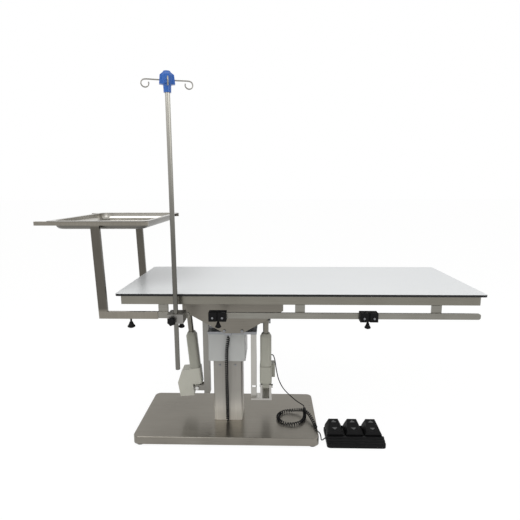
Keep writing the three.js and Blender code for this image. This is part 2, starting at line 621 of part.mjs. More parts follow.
// Actuator, along Z from its lower pin at the origin; the pins run along Y and the motor lies towards -X
function actuator(name, length, tubeTop, motor, slotShift, slotPlay, parent) {
  const housing = outline(
    [-16, motor.top], [26 - motor.reach, motor.top], [-motor.reach, motor.top * 0.55 + motor.bottom * 0.45],
    [5 - motor.reach, motor.bottom], [-18, motor.bottom],
  );
  const tongue = link(0, 0, LUG_RADIUS - 2, 0, GEAR_BOTTOM + 12, LUG_RADIUS - 2);
  part(`${name}_motor`, cut(
    join(
      acrossY(housing, motor.front, motor.back),
      slab(roundedRect(TUBE_WIDTH + 6, TUBE_DEPTH + 4, 12), GEAR_BOTTOM, GEAR_TOP, 3),
      acrossY(tongue, -TONGUE_HALF, TONGUE_HALF),
    ),
    bar(PIN_RADIUS + FIT, at(0, -60, 0), at(0, 60, 0), 16),
  ), motorPlastic, parent);
  const taper = 9;
  const section = roundedRect(TUBE_WIDTH - 2 * taper, TUBE_DEPTH - 2 * taper, 12 - taper / 2);
  const tube = new THREE.ExtrudeGeometry(section, {
    depth: tubeTop - 16 - GEAR_TOP,
    bevelThickness: 16,
    bevelSize: taper,
    bevelSegments: 1,
    curveSegments: 3,
  }).translate(0, 0, GEAR_TOP);
  part(`${name}_tube`, cut(
    tube,
    block(-60, 60, -60, 60, 0, GEAR_TOP + FIT),
    bar(ROD_RADIUS + FIT, at(0, 0, GEAR_TOP + 14), at(0, 0, tubeTop + 10), 18),
  ), motorPlastic, parent);
  const rodFoot = GEAR_TOP + (length - tubeTop) / 2 + 20;
  const eyeSlot = link(0, length, PIN_RADIUS + slotPlay, slotShift, length, PIN_RADIUS + slotPlay - 0.001);
  part(`${name}_rod`, cut(
    join(
      bar(ROD_RADIUS, at(0, 0, rodFoot), at(0, 0, length - 6), 18),
      bar(EYE_RADIUS, at(slotShift / 2, -EYE_HALF, length), at(slotShift / 2, EYE_HALF, length), 18),
    ),
    acrossY(eyeSlot, -EYE_HALF - 1, EYE_HALF + 1),
  ), brightSteel, parent);
}

const longAxis = new THREE.Vector3().subVectors(LONG_UPPER, LONG_LOWER);
const longActuator = new THREE.Group();
longActuator.position.copy(LONG_LOWER);
longActuator.rotation.y = Math.atan2(longAxis.x, longAxis.z);
model.add(longActuator);
actuator('long', longAxis.length(), LONG_TUBE_TOP, { bottom: -34, top: 98, reach: 90, front: -28, back: 43 },
  4.4, 0.6, longActuator);

const lateralActuator = new THREE.Group();
lateralActuator.position.set(LATERAL_X, LATERAL_Y, LATERAL_LOWER_Z);
lateralActuator.rotation.z = -Math.PI / 2;
model.add(lateralActuator);
actuator('lateral', LATERAL_UPPER_Z - LATERAL_LOWER_Z, LATERAL_TUBE_TOP,
  { bottom: 36, top: 103, reach: 84, front: -28, back: 43 }, -2.6, 1.4, lateralActuator);

// Table frame and top
const topMid = topLeft + TOP_LENGTH / 2;
function tableFrame() {
  const ring = roundedRect(frameRight - frameLeft, 2 * frameHalf, 3, topMid, 0);
  const bars = [frameLeft + FRAME_BAR, HOUSING_LEFT, HOUSING_RIGHT, FAR_CROSS_X, frameRight - FRAME_BAR];
  const gaps = [];
  for (let i = 0; i + 1 < bars.length; i += 1) {
    const left = bars[i] + (i === 0 ? 0 : CROSS_BAR / 2);
    const right = bars[i + 1] - (i + 2 === bars.length ? 0 : CROSS_BAR / 2);
    const gapHalf = frameHalf - FRAME_BAR;
    gaps.push(block(left, right, -gapHalf, gapHalf, frameBottom - 1, frameTop + 1));
  }
  return cut(slab(ring, frameBottom, frameTop, 2), ...gaps);
}
part('table_frame', tableFrame(), stainless);
part('table_top', slab(roundedRect(TOP_LENGTH, TOP_WIDTH, TOP_CORNER, topMid, 0),
  TOP_HEIGHT - TOP_THICKNESS, TOP_HEIGHT), laminate);

// Accessory rails on posts, a long and a short one on each side
function rail(side, left, right, posts) {
  const flip = (near, far) => (side < 0 ? [-far, -near] : [near, far]);
  const [front, back] = flip(frameHalf, frameHalf + RAIL_THICK);
  const [postFront, postBack] = flip(frameHalf - RAIL_THICK, frameHalf + 1);
  const pieces = posts.map((x) =>
    block(x - POST_WIDTH / 2, x + POST_WIDTH / 2, postFront, postBack, railBottom, frameBottom - FIT));
  const flat = roundedRect(right - left, RAIL_HEIGHT, RAIL_END_RADIUS, (left + right) / 2, railMid);
  return join(acrossY(flat, front, back, 3), ...pieces);
}
const nearPost = frameLeft + POST_FROM_END + POST_WIDTH / 2;
const farPost = frameRight - POST_FROM_END - POST_WIDTH / 2;
for (const [side, name] of [[-1, 'front'], [1, 'rear']]) {
  part(`rail_${name}_long`, rail(side, longRailStart, frameRight, [MID_POST_X, farPost]), stainless);
  part(`rail_${name}_short`, rail(side, frameLeft, shortRailEnd, [nearPost]), stainless);
}

// A clamp body that hooks round the front rail
function clampBody(left, right, front, lipDepth) {
  const back = -frameHalf + PLAY + lipDepth;
  const top = railMid + CLAMP_HEIGHT / 2;
  const bottom = railMid - CLAMP_HEIGHT / 2;
  return cut(
    block(left, right, front, back, bottom, top),
    block(left - 1, right + 1, -frameHalf - RAIL_THICK - PLAY, -frameHalf + PLAY,
      railBottom - PLAY, railTop + PLAY),
    block(left - 1, right + 1, -frameHalf, back + 1, bottom - 1, railMid),
  );
}

// A flared thumb knob on a vertical screw, hanging under a clamp or sleeve
const CLAMP_GRIP = 12;
const TRAY_GRIP = 15;
function thumbKnob(screwTop, screwRadius, grip) {
  const neck = screwTop - 15;
  return turned([
    [0, neck - 25], [grip - 4, neck - 25], [grip, neck - 22], [grip, neck - 18], [grip * 0.6, neck - 8],
    [grip * 0.5, neck - 2], [screwRadius, neck], [screwRadius, screwTop], [0, screwTop],
  ], 14);
}

const clampFront = -frameHalf - RAIL_THICK - CLAMP_FRONT;
const clampBottom = railMid - CLAMP_HEIGHT / 2;
const screwRadius = 4;
const railScrewY = -frameHalf - RAIL_THICK / 2;
const knobScrewTop = railBottom - FIT - PLAY;
const knobHole = (x, y) => bar(screwRadius + FIT, at(x, y, clampBottom - 20), at(x, y, railBottom + 1), 12);
for (const [name, x] of [['a', clampAX], ['b', CLAMP_B_X]]) {
  const body = clampBody(x - CLAMP_WIDTH / 2, x + CLAMP_WIDTH / 2, clampFront, CLAMP_LIP);
  const groove = block(x - 3, x + 3, clampFront - 1, clampFront + 6, 0, 1000);
  part(`rail_clamp_${name}`, cut(body, groove, knobHole(x, railScrewY)), blackPlastic);
  const knob = thumbKnob(knobScrewTop, screwRadius, CLAMP_GRIP).translate(x, railScrewY, 0);
  part(`rail_clamp_${name}_knob`, knob, blackPlastic);
}

// Infusion pole clamp: block on the short rail, bored for the pole, with a star knob and a rail screw
const ivScrewX = poleX + 13;
const starTurn = THREE.MathUtils.degToRad(STAR_TURN);
const starAxis = at(-Math.sin(starTurn), -Math.cos(starTurn), 0);
const starRoot = at(poleX, poleY, railMid - 6);
const alongStar = (distance) => starRoot.clone().addScaledVector(starAxis, distance);
part('iv_clamp', cut(
  clampBody(ivClampLeft, ivClampRight, poleY - POLE_RADIUS - IV_CLAMP_WALL, CLAMP_LIP),
  bar(POLE_RADIUS + FIT, at(poleX, poleY, 0), at(poleX, poleY, 1000)),
  bar(screwRadius + FIT, alongStar(2), alongStar(60), 12),
  knobHole(ivScrewX, railScrewY),
), stainless);
part('iv_rail_knob', thumbKnob(knobScrewTop, screwRadius, CLAMP_GRIP).translate(ivScrewX, railScrewY, 0),
  blackPlastic);

function starKnob() {
  const lobes = 6;
  const grip = new THREE.Shape();
  for (let i = 0; i < lobes; i += 1) {
    const heading = (2 * Math.PI * i) / lobes;
    grip.absarc(12.5 * Math.cos(heading), 12.5 * Math.sin(heading), 5, heading - 1.2, heading + 1.2, false);
  }
  grip.closePath();
  const head = new THREE.ExtrudeGeometry(grip, {
    depth: 11, bevelThickness: 2, bevelSize: 2, bevelOffset: -2, bevelSegments: 1, curveSegments: 2,
  });
  const screwIn = POLE_RADIUS + FIT;
  const gripAt = (POLE_RADIUS + IV_CLAMP_WALL) / Math.cos(starTurn) + STAR_NECK;
  const screw = new THREE.CylinderGeometry(screwRadius, screwRadius, gripAt - screwIn + 2, 12)
    .rotateX(Math.PI / 2).translate(0, 0, (gripAt + screwIn) / 2 + 1);
  return join(head.translate(0, 0, gripAt + 2), screw);
}
const starGroup = new THREE.Group();
starGroup.position.copy(starRoot);
starGroup.quaternion.setFromUnitVectors(at(0, 0, 1), starAxis);
model.add(starGroup);
part('iv_star_knob', starKnob(), blackPlastic, starGroup);

// Infusion pole, hub and two crossing wires whose ends turn into open rings
const boreRadius = POLE_RADIUS - POLE_WALL;
part('iv_pole', turned([
  [0, POLE_TOP - 4], [boreRadius, POLE_TOP - 4], [boreRadius, POLE_BOTTOM], [POLE_RADIUS, POLE_BOTTOM],
  [POLE_RADIUS, POLE_TOP], [0, POLE_TOP],
]).translate(poleX, poleY, 0), stainless);

function hookWire() {
  const ringAt = HOOK_REACH - HOOK_RING - HOOK_WIRE;
  const ring = [];
  const steps = 12;
  for (let i = 0; i <= steps; i += 1) {
    const turn = THREE.MathUtils.degToRad((HOOK_TURN * i) / steps);
    ring.push([ringAt + HOOK_RING * Math.sin(turn), 0, HOOK_RING * (Math.cos(turn) - 1)]);
  }
  const mirrored = ring.map(([x, y, z]) => [-x, y, z]).reverse();
  const across = [[-ringAt / 2, 0, 0], [0, 0, 0], [ringAt / 2, 0, 0]];
  return wire(route([...mirrored, ...across, ...ring]), HOOK_WIRE, 52, 6);
}
const upperWire = HOOK_Z + HOOK_WIRE + FIT;
const lowerWire = HOOK_Z - HOOK_WIRE - FIT;
function ivHub() {
  const bore = POLE_RADIUS + FIT;
  const body = turned([
    [0, POLE_TOP + FIT], [bore, POLE_TOP + FIT], [bore, POLE_TOP - 21], [14, POLE_TOP - 21],
    [15, POLE_TOP + 4], [20, POLE_TOP + 9], [22, POLE_TOP + 38], [13, POLE_TOP + 54], [0, POLE_TOP + 54],
  ], 16);
  const lobe = (heading) => new ConvexGeometry([
    ...[-9, 9].flatMap((y) => [
      at(10, y, POLE_TOP + 6), at(29, y, POLE_TOP + 8),
      at(26, y * 0.8, POLE_TOP + 40), at(12, y * 0.8, POLE_TOP + 51),
    ]),
  ]).rotateZ(heading);
  return cut(
    join(body, ...[0, 1, 2, 3].map((i) => lobe((i * Math.PI) / 2))),
    bar(HOOK_WIRE + FIT, at(-60, 0, upperWire), at(60, 0, upperWire), 10),
    bar(HOOK_WIRE + FIT, at(0, -60, lowerWire), at(0, 60, lowerWire), 10),
  );
}
const headTurn = THREE.MathUtils.degToRad(HEAD_TURN);
part('iv_hub', ivHub().rotateZ(headTurn).translate(poleX, poleY, 0), bluePlastic);
part('iv_hook_long', hookWire().rotateZ(headTurn).translate(poleX, poleY, upperWire), brightSteel);
part('iv_hook_cross', hookWire().rotateZ(headTurn + Math.PI / 2).translate(poleX, poleY, lowerWire),
  brightSteel);

// Tray brackets: sleeve on the short rail, leaning post and bar under the tray rim
const barBottom = BAR_TOP - BAR_HEIGHT;
function trayBracket(side) {
  const mid = side * railY;
  const near = mid - sleeveHalfY;
  const far = mid + sleeveHalfY;
  const post = outline(
    [sleeveLeft, railMid - sleeveHalfZ], [sleeveLeft + BRACKET_POST, railMid - sleeveHalfZ],
    [sleeveLeft + BRACKET_POST - BRACKET_LEAN, barBottom + 2], [sleeveLeft - BRACKET_LEAN, barBottom + 2],
  );
  const bracket = join(
    block(sleeveLeft, sleeveRight, near, far, railMid - sleeveHalfZ, railMid + sleeveHalfZ),
    acrossY(post, near, far),
    block(barLeft, barLeft + BAR_LENGTH, near, far, barBottom, BAR_TOP),
  );
  return cut(
    bracket,
    block(sleeveLeft + BRACKET_POST, sleeveRight + 1,
      mid - RAIL_THICK / 2 - PLAY, mid + RAIL_THICK / 2 + PLAY, railBottom - PLAY, railTop + PLAY),
    bar(screwRadius + FIT, at(trayKnobX, mid, railMid - sleeveHalfZ - 5),
      at(trayKnobX, mid, railBottom + 1), 12),
  );
}
for (const [side, name] of [[-1, 'front'], [1, 'rear']]) {
  part(`tray_bracket_${name}`, trayBracket(side), stainless);
  const knob = thumbKnob(knobScrewTop, screwRadius, TRAY_GRIP).translate(trayKnobX, side * railY, 0);
  part(`tray_knob_${name}`, knob, blackPlastic);
}

// Instrument tray: drawn pan with a flat rim that lies on the two bars
const trayMid = trayLeft + TRAY_LENGTH / 2;
const rimBottom = BAR_TOP + FIT;
const rimTop = rimBottom + TRAY_SHEET;
const panLength = TRAY_LENGTH - 2 * TRAY_RIM;
const panWidth = 2 * (railY - sleeveHalfY - 1.5);
function drawnForm(length, width, bottom, edge) {
  const flat = roundedRect(length - 2 * edge, width - 2 * edge, TRAY_CORNER, trayMid, 0);
  return new THREE.ExtrudeGeometry(flat, {
    depth: rimTop - bottom, bevelThickness: edge, bevelSize: edge, bevelSegments: 3, curveSegments: 3,
  }).translate(0, 0, bottom + edge);
}
part('tray_pan', cut(
  join(
    cut(drawnForm(panLength, panWidth, TRAY_BOTTOM, TRAY_EDGE),
      block(-2000, 2000, -2000, 2000, rimTop, rimTop + 200)),
    slab(roundedRect(TRAY_LENGTH, trayWidth, TRAY_CORNER, trayMid, 0), rimBottom, rimTop, 3),
  ),
  drawnForm(panLength - 2 * TRAY_SHEET, panWidth - 2 * TRAY_SHEET,
    TRAY_BOTTOM + TRAY_SHEET, TRAY_EDGE - TRAY_SHEET),
), stainless);

// Foot switch: ribbed base with three rocker pedals, each on a half-round pivot
const switchLeft = SWITCH_X - SWITCH_WIDTH / 2;
const switchRight = SWITCH_X + SWITCH_WIDTH / 2;
const tailZ = 12;
const tailY = -147;
const pedalFront = -149;
const pedalRear = -60;
function switchBase() {
  const well = 14;
  const side = outline(
    [SWITCH_FRONT, 0], [SWITCH_REAR, 0], [SWITCH_REAR, well + 6], [SWITCH_REAR - 3, well + 6],
    [SWITCH_REAR - 3, well], [pedalFront - 3, well], [pedalFront - 3, 27], [pedalFront - 14, 27],
    [pedalFront - 17, 22], [pedalFront - 30, 22], [pedalFront - 33, 17], [pedalFront - 46, 17],
    [SWITCH_FRONT, 8],
  );
  const pivots = [-1, 0, 1].map((i) => {
    const x = SWITCH_X + i * PEDAL_PITCH;
    const y = PEDAL_PIVOT_Y;
    return join(
      block(x - 30, x + 30, y - PEDAL_PIVOT_RADIUS, y + PEDAL_PIVOT_RADIUS, well - 1, PEDAL_PIVOT_Z),
      bar(PEDAL_PIVOT_RADIUS, at(x - 30, y, PEDAL_PIVOT_Z), at(x + 30, y, PEDAL_PIVOT_Z), 16),
    );
  });
  const midY = (SWITCH_FRONT + SWITCH_REAR) / 2;
  const plan = slab(roundedRect(SWITCH_WIDTH, SWITCH_REAR - SWITCH_FRONT, 14, SWITCH_X, midY), -1, 60);
  const rounded = toGeometry(toSolid(alongX(side, switchLeft, switchRight)).intersect(toSolid(plan)));
  return cut(
    join(rounded, ...pivots),
    bar(WIRE_RADIUS + 2 * FIT, at(switchLeft - 1, tailY, tailZ), at(switchLeft + 12, tailY, tailZ), 12),
  );
}
part('footswitch_base', switchBase(), blackPlastic);
['left', 'middle', 'right'].forEach((name, i) => {
  const x = SWITCH_X + (i - 1) * PEDAL_PITCH;
  const tread = new ConvexGeometry([-1, 1].flatMap((side) => [
    at(x + side * 40, pedalFront, PEDAL_PIVOT_Z), at(x + side * 40, pedalRear, PEDAL_PIVOT_Z),
    at(x + side * 38, pedalFront, 32), at(x + side * 38, pedalRear, 30),
    at(x + side * 32, pedalFront + 5, 42), at(x + side * 22, pedalRear - 5, 62),
  ]));
  const seat = bar(PEDAL_PIVOT_RADIUS + FIT, at(x - 50, PEDAL_PIVOT_Y, PEDAL_PIVOT_Z),
    at(x + 50, PEDAL_PIVOT_Y, PEDAL_PIVOT_Z), 16);
  part(`pedal_${name}`, cut(tread, seat), blackPlastic);
});

// A curly cord: one wire wound round a route, with straight ends, swept with five sides
function curlyCord(name, curve, curls, straight) {
  const stepsPerCurl = 8;
  const steps = curls * stepsPerCurl;
  const frames = curve.computeFrenetFrames(steps, false);
  const length = curve.getLength();
  const centres = [];
  for (let i = 0; i <= steps; i += 1) {
    const along = straight + (length - 2 * straight) * (i / steps);
    const axis = curve.getPointAt(along / length);
    const turn = (2 * Math.PI * i) / stepsPerCurl;
    const fade = Math.min(1, i / stepsPerCurl, (steps - i) / stepsPerCurl);
    const reach = CURL_RADIUS * fade * fade * (3 - 2 * fade);
    axis.addScaledVector(frames.normals[i], reach * Math.cos(turn));
    axis.addScaledVector(frames.binormals[i], reach * Math.sin(turn));
    centres.push(axis);
  }
  centres.unshift(curve.getPointAt(0));
  centres.push(curve.getPointAt(1));
  console.log(`${name}: least gap to itself ${selfGap(centres, stepsPerCurl).toFixed(2)} mm`);
  return sweep(centres, WIRE_RADIUS, 5);
}

// The least distance between points over half a curl apart, less the wire
function selfGap(centres, stepsPerCurl) {
  let least = Infinity;
  for (let i = 0; i < centres.length; i += 1) {
    for (let j = i + stepsPerCurl / 2; j < centres.length; j += 1) {
      least = Math.min(least, centres[i].distanceTo(centres[j]));
    }
  }
  return least - 2 * WIRE_RADIUS;
}

// Rings of points square to the path, joined into a closed tube
function sweep(centres, radius, sides) {
  const corners = [];
  const faces = [];
  const last = centres.length - 1;
  let across = null;
  for (let i = 0; i <= last; i += 1) {
    const next = centres[Math.min(i + 1, last)];
    const ahead = new THREE.Vector3().subVectors(next, centres[Math.max(i - 1, 0)]).normalize();
    if (!across) across = Math.abs(ahead.z) < 0.9 ? at(0, 0, 1) : at(1, 0, 0);
    across.addScaledVector(ahead, -across.dot(ahead)).normalize();
    const beside = new THREE.Vector3().crossVectors(ahead, across);
    for (let k = 0; k < sides; k += 1) {
      const turn = (2 * Math.PI * k) / sides;
      const corner = centres[i].clone();
      corner.addScaledVector(across, radius * Math.cos(turn));
      corner.addScaledVector(beside, radius * Math.sin(turn));
      corners.push(corner.x, corner.y, corner.z);
    }
  }
  for (let i = 0; i < last; i += 1) {
    for (let k = 0; k < sides; k += 1) {
      const a = i * sides + k;
      const b = i * sides + ((k + 1) % sides);
      faces.push(a, b, a + sides, b, b + sides, a + sides);
    }
  }
  for (let k = 1; k + 1 < sides; k += 1) {
    faces.push(0, k + 1, k, last * sides, last * sides + k, last * sides + k + 1);
  }
  const geometry = new THREE.BufferGeometry();
  geometry.setAttribute('position', new THREE.Float32BufferAttribute(corners, 3));
  geometry.setIndex(faces);
  return geometry;
}

// Cords: the column's curly cord, and the foot switch cord as lead, curls and tail
const columnCord = route([
  [tabX, -97, HEAD_BOTTOM - FIT], [tabX, -97, 470], [1, -97, 420], [-1, -96, 362], [-2, -90, 270],
  [-2, -81, 150], [-2, -76.5, 80], [-2, -76, 56], [-2, -76, 41],
]);
part('column_curly_cord', curlyCord('column_curly_cord', columnCord, COLUMN_CURLS, 8), rubber);

const leadExit = LATERAL_X + CONTROL_WIDTH / 2 + FIT;
const footLead = route([
  [leadExit, 45, 340], [215, 45, 339], [224, 46, 318], [233, 47, 262], [246, 48, 205], [270, 49, 157],
  [303, 51, 120], [338, 56, 86], [362, 64, 66], [374, 64, 57.5], [375, 57, 56], [375, 52.3, 56],
]);
part('foot_cord_lead', wire(footLead, WIRE_RADIUS, 40, 8), rubber);

const footCurl = route([
  [375, 52, 56], [375, 38, 56], [375, 10, 56], [372, -30, 56], [362, -68, 56], [336, -98, 56],
  [300, -106, 56], [264, -95, 56], [243, -64, 56], [244, -26, 56], [268, 4, 56], [304, 14, 58],
  [338, 6, 66], [366, -14, 75.5], [388, -44, 76], [404, -82, 66], [414, -116, 57], [417, -138, 56],
  [418, -150, 56],
]);
part('foot_cord_curls', curlyCord('foot_cord_curls', footCurl, FOOT_CURLS, 6), rubber);

const footTail = route([
  [418, -150.3, 56], [419, -156, 55.5], [424, -163, 53.5], [431, -166, 47], [436, -165, 32], [439, -161, 14],
  [443, -155, 6], [449, -150, 5], [455, -147.5, 9], [461.5, tailY, tailZ], [switchLeft + 8, tailY, tailZ],
]);
part('foot_cord_tail', wire(footTail, WIRE_RADIUS, 26, 8), rubber);

// The origin lies on the floor, under the middle of the table without its cords
const extent = new THREE.Box3();
model.updateMatrixWorld(true);
for (const mesh of model.getObjectsByProperty('isMesh', true)) {
  if (!mesh.name.includes('cord')) extent.expandByObject(mesh, true);
}
const middle = extent.getCenter(new THREE.Vector3());
model.position.set(-middle.x, -middle.y, -extent.min.z);

const table = new THREE.Group();
table.add(model);
export default table;
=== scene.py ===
"""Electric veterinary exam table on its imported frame: finishes, worked edges, cords, screws and marks."""
import json
import math

import bmesh
import bpy
import numpy as np
from mathutils import Euler, Matrix, Vector


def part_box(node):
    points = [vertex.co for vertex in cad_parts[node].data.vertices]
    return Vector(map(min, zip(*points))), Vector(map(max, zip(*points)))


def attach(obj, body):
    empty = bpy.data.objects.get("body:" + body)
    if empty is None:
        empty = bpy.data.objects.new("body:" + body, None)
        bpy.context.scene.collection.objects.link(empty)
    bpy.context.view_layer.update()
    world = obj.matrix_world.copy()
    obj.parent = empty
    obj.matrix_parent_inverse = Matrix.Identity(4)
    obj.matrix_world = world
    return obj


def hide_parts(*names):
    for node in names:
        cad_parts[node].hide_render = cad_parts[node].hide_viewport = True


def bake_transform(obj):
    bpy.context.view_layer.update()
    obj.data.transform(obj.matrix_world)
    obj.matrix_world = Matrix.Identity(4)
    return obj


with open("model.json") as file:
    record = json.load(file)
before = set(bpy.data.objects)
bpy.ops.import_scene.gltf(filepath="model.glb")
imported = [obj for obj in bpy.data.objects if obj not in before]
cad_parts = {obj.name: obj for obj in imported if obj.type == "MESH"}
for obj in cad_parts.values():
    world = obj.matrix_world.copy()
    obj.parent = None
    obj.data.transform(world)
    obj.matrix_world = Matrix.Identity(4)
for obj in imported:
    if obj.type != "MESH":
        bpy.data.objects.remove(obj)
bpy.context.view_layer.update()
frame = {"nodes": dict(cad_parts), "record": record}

scene = bpy.context.scene
scene.view_settings.view_transform = "Standard"


# Camera, where the photographer stood: a little right of the column and just over the top.
# Its turns are in radians. Places given to spot are millimetres from the foot of the column, as a fitter
# would measure them.
def box_of(node):
    low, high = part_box(node)
    return Vector(low), Vector(high)


column_low, column_high = box_of("column_outer")
column_axis = (column_low + column_high) / 2


def spot(x, y, z):
    return Vector((column_axis.x + x / 1000, column_axis.y + y / 1000, z / 1000))


PITCH = 0.1700
YAW = -0.0262
ROLL = -0.0028
SENSOR_WIDTH = 36
FOCAL_LENGTH = 29.22
STANDPOINT = (204.95, -1951.57, 1161.84)
lens = bpy.data.cameras.new("photo_camera")
lens.sensor_width = SENSOR_WIDTH
lens.lens = FOCAL_LENGTH
camera = bpy.data.objects.new("photo_camera", lens)
scene.collection.objects.link(camera)
camera.location = spot(*STANDPOINT)
looking = Euler((math.pi / 2 - PITCH, 0, -YAW), "XYZ").to_matrix()
camera.rotation_euler = (looking @ Matrix.Rotation(ROLL, 3, "Z")).to_euler()
scene.camera = camera


# Studio: a pale floor, a white surround and three soft lamps, with their places and sizes in metres.
# One function turns sRGB hex to linear colour, and one adds a node with its settings and links.
def linear(code):
    channels = [int(code[i:i + 2], 16) / 255 for i in (1, 3, 5)]
    return [c / 12.92 if c <= 0.04045 else ((c + 0.055) / 1.055) ** 2.4 for c in channels] + [1.0]


def add_node(tree, kind, inputs=None, **settings):
    node = tree.nodes.new(kind)
    for name, value in settings.items():
        setattr(node, name, value)
    for name, value in (inputs or {}).items():
        if isinstance(value, bpy.types.NodeSocket):
            tree.links.new(value, node.inputs[name])
        else:
            node.inputs[name].default_value = value
    return node


def seen_ray(tree):
    """1 where the camera, gloss or glass sees the surroundings, and 0 where they only give light."""
    path = add_node(tree, "ShaderNodeLightPath")
    seen = path.outputs["Is Camera Ray"]
    for kind in ("Is Glossy Ray", "Is Transmission Ray"):
        either = add_node(tree, "ShaderNodeMath", {0: seen, 1: path.outputs[kind]}, operation="MAXIMUM")
        seen = either.outputs[0]
    return seen


WHITE = linear("#ffffff")
world = bpy.data.worlds.new("white_surround")
world.use_nodes = True
sky = world.node_tree
sky.nodes.clear()
lighting = add_node(sky, "ShaderNodeBackground", {"Color": WHITE, "Strength": 0.62})
showing = add_node(sky, "ShaderNodeBackground", {"Color": WHITE, "Strength": 1.0})
surround = add_node(sky, "ShaderNodeMixShader",
                    {0: seen_ray(sky), 1: lighting.outputs[0], 2: showing.outputs[0]})
add_node(sky, "ShaderNodeOutputWorld", {"Surface": surround.outputs[0]})
scene.world = world

floor_paint = bpy.data.materials.new("studio_floor")
floor_paint.use_nodes = True
ground = floor_paint.node_tree
ground.nodes.clear()
matt = add_node(ground, "ShaderNodeBsdfDiffuse", {"Color": linear("#f2f2f0")})
glow = add_node(ground, "ShaderNodeEmission", {"Color": WHITE, "Strength": 1.04})
glow_share = add_node(ground, "ShaderNodeMath", {0: seen_ray(ground), 1: 0.9}, operation="MULTIPLY")
lit = add_node(ground, "ShaderNodeMixShader",
               {0: glow_share.outputs[0], 1: matt.outputs[0], 2: glow.outputs[0]})
add_node(ground, "ShaderNodeOutputMaterial", {"Surface": lit.outputs[0]})
FLOOR_REACH = 40
floor_corners = [(x * FLOOR_REACH, y * FLOOR_REACH, 0) for x, y in ((-1, -1), (1, -1), (1, 1), (-1, 1))]
floor_mesh = bpy.data.meshes.new("studio_floor")
floor_mesh.from_pydata(floor_corners, [], [(0, 1, 2, 3)])
floor_mesh.materials.append(floor_paint)
floor = bpy.data.objects.new("studio_floor", floor_mesh)
scene.collection.objects.link(floor)

LIT_POINT = Vector((0.1, 0, 0.6))
for name, place, watts, size in (
    ("key_lamp", (-1.6, -2.2, 3.4), 58, 2.4),
    ("fill_lamp", (2.6, -1.8, 2.6), 26, 2.6),
    ("back_lamp", (0.3, 2.8, 3.0), 5, 2.6),
):
    lamp = bpy.data.lights.new(name, "AREA")
    lamp.energy = watts
    lamp.size = size
    lamp_object = bpy.data.objects.new(name, lamp)
    scene.collection.objects.link(lamp_object)
    lamp_object.location = place
    aim = LIT_POINT - lamp_object.location
    lamp_object.rotation_euler = aim.to_track_quat("-Z", "Y").to_euler()


# Cords: rubber-covered wire, wound into curls by the maker so that it stretches as the table moves.
# One curls down the column from the head to the base. The other leaves the control box, lies in a ring
# of curls on the base and runs to the foot switch.
def soft_rubber():
    # Extruded soft rubber: near black, dull, with a dusty unevenness about 11 mm across.
    dust_size = 11.11
    material = bpy.data.materials.new("extruded_rubber")
    material.use_nodes = True
    tree = material.node_tree
    shader = tree.nodes["Principled BSDF"]
    shader.inputs["Specular IOR Level"].default_value = 0.2
    place = add_node(tree, "ShaderNodeTexCoord")
    dust = add_node(tree, "ShaderNodeTexNoise",
                    {"Vector": place.outputs["Object"], "Scale": 1000 / dust_size, "Detail": 3.0})
    shade = add_node(tree, "ShaderNodeMix",
                     {"Factor": dust.outputs["Fac"], "A": linear("#070708"), "B": linear("#101012")},
                     data_type="RGBA")
    dull = add_node(tree, "ShaderNodeMapRange",
                    {"Value": dust.outputs["Fac"], "To Min": 0.5, "To Max": 0.68})
    tree.links.new(shade.outputs[2], shader.inputs["Base Color"])
    tree.links.new(dull.outputs[0], shader.inputs["Roughness"])
    return material


rubber = soft_rubber()
WIRE_RADIUS = 2.5
WIRE_SIDES = 8
CURL_RADIUS = 6.0
CURL_STEPS = 16


def between(a, b, start, end, u):
    """The point at u on the straight run from a, at start, to b, at end."""
    return ((end - u) * a + (u - start) * b) / (end - start)


def route(points, steps):
    """A centripetal curve through the points, with its samples evenly spaced."""
    span_steps = 40
    points = np.array(points, float)
    ends = np.vstack([2 * points[0] - points[1], points, 2 * points[-1] - points[-2]])
    fine = []
    for p0, p1, p2, p3 in zip(ends, ends[1:], ends[2:], ends[3:]):
        spacing = [np.linalg.norm(b - a) ** 0.5 for a, b in ((p0, p1), (p1, p2), (p2, p3))]
        t = np.cumsum([0, *spacing])
        for u in np.linspace(t[1], t[2], span_steps, endpoint=False):
            a1 = between(p0, p1, t[0], t[1], u)
            a2 = between(p1, p2, t[1], t[2], u)
            a3 = between(p2, p3, t[2], t[3], u)
            b1 = between(a1, a2, t[0], t[2], u)
            b2 = between(a2, a3, t[1], t[3], u)
            fine.append(between(b1, b2, t[1], t[2], u))
    fine = np.array(fine + [points[-1]])
    along = np.concatenate([[0], np.cumsum(np.linalg.norm(np.diff(fine, axis=0), axis=1))])
    even = np.linspace(0, along[-1], steps + 1)
    return np.stack([np.interp(even, along, fine[:, i]) for i in range(3)], axis=1)


def run_length(line):
    return float(np.linalg.norm(np.diff(line, axis=0), axis=1).sum())


def directions_across(line):
    """Two directions square to the line at each of its points, which turn no more than the line does."""
    ahead = np.gradient(line, axis=0)
    ahead /= np.linalg.norm(ahead, axis=1)[:, None]
    side = np.array([0, 0, 1.0]) if abs(ahead[0][2]) < 0.9 else np.array([1.0, 0, 0])
    sides = []
    for direction in ahead:
        side = side - direction * side.dot(direction)
        side = side / np.linalg.norm(side)
        sides.append(side)
    sides = np.array(sides)
    return sides, np.cross(ahead, sides)


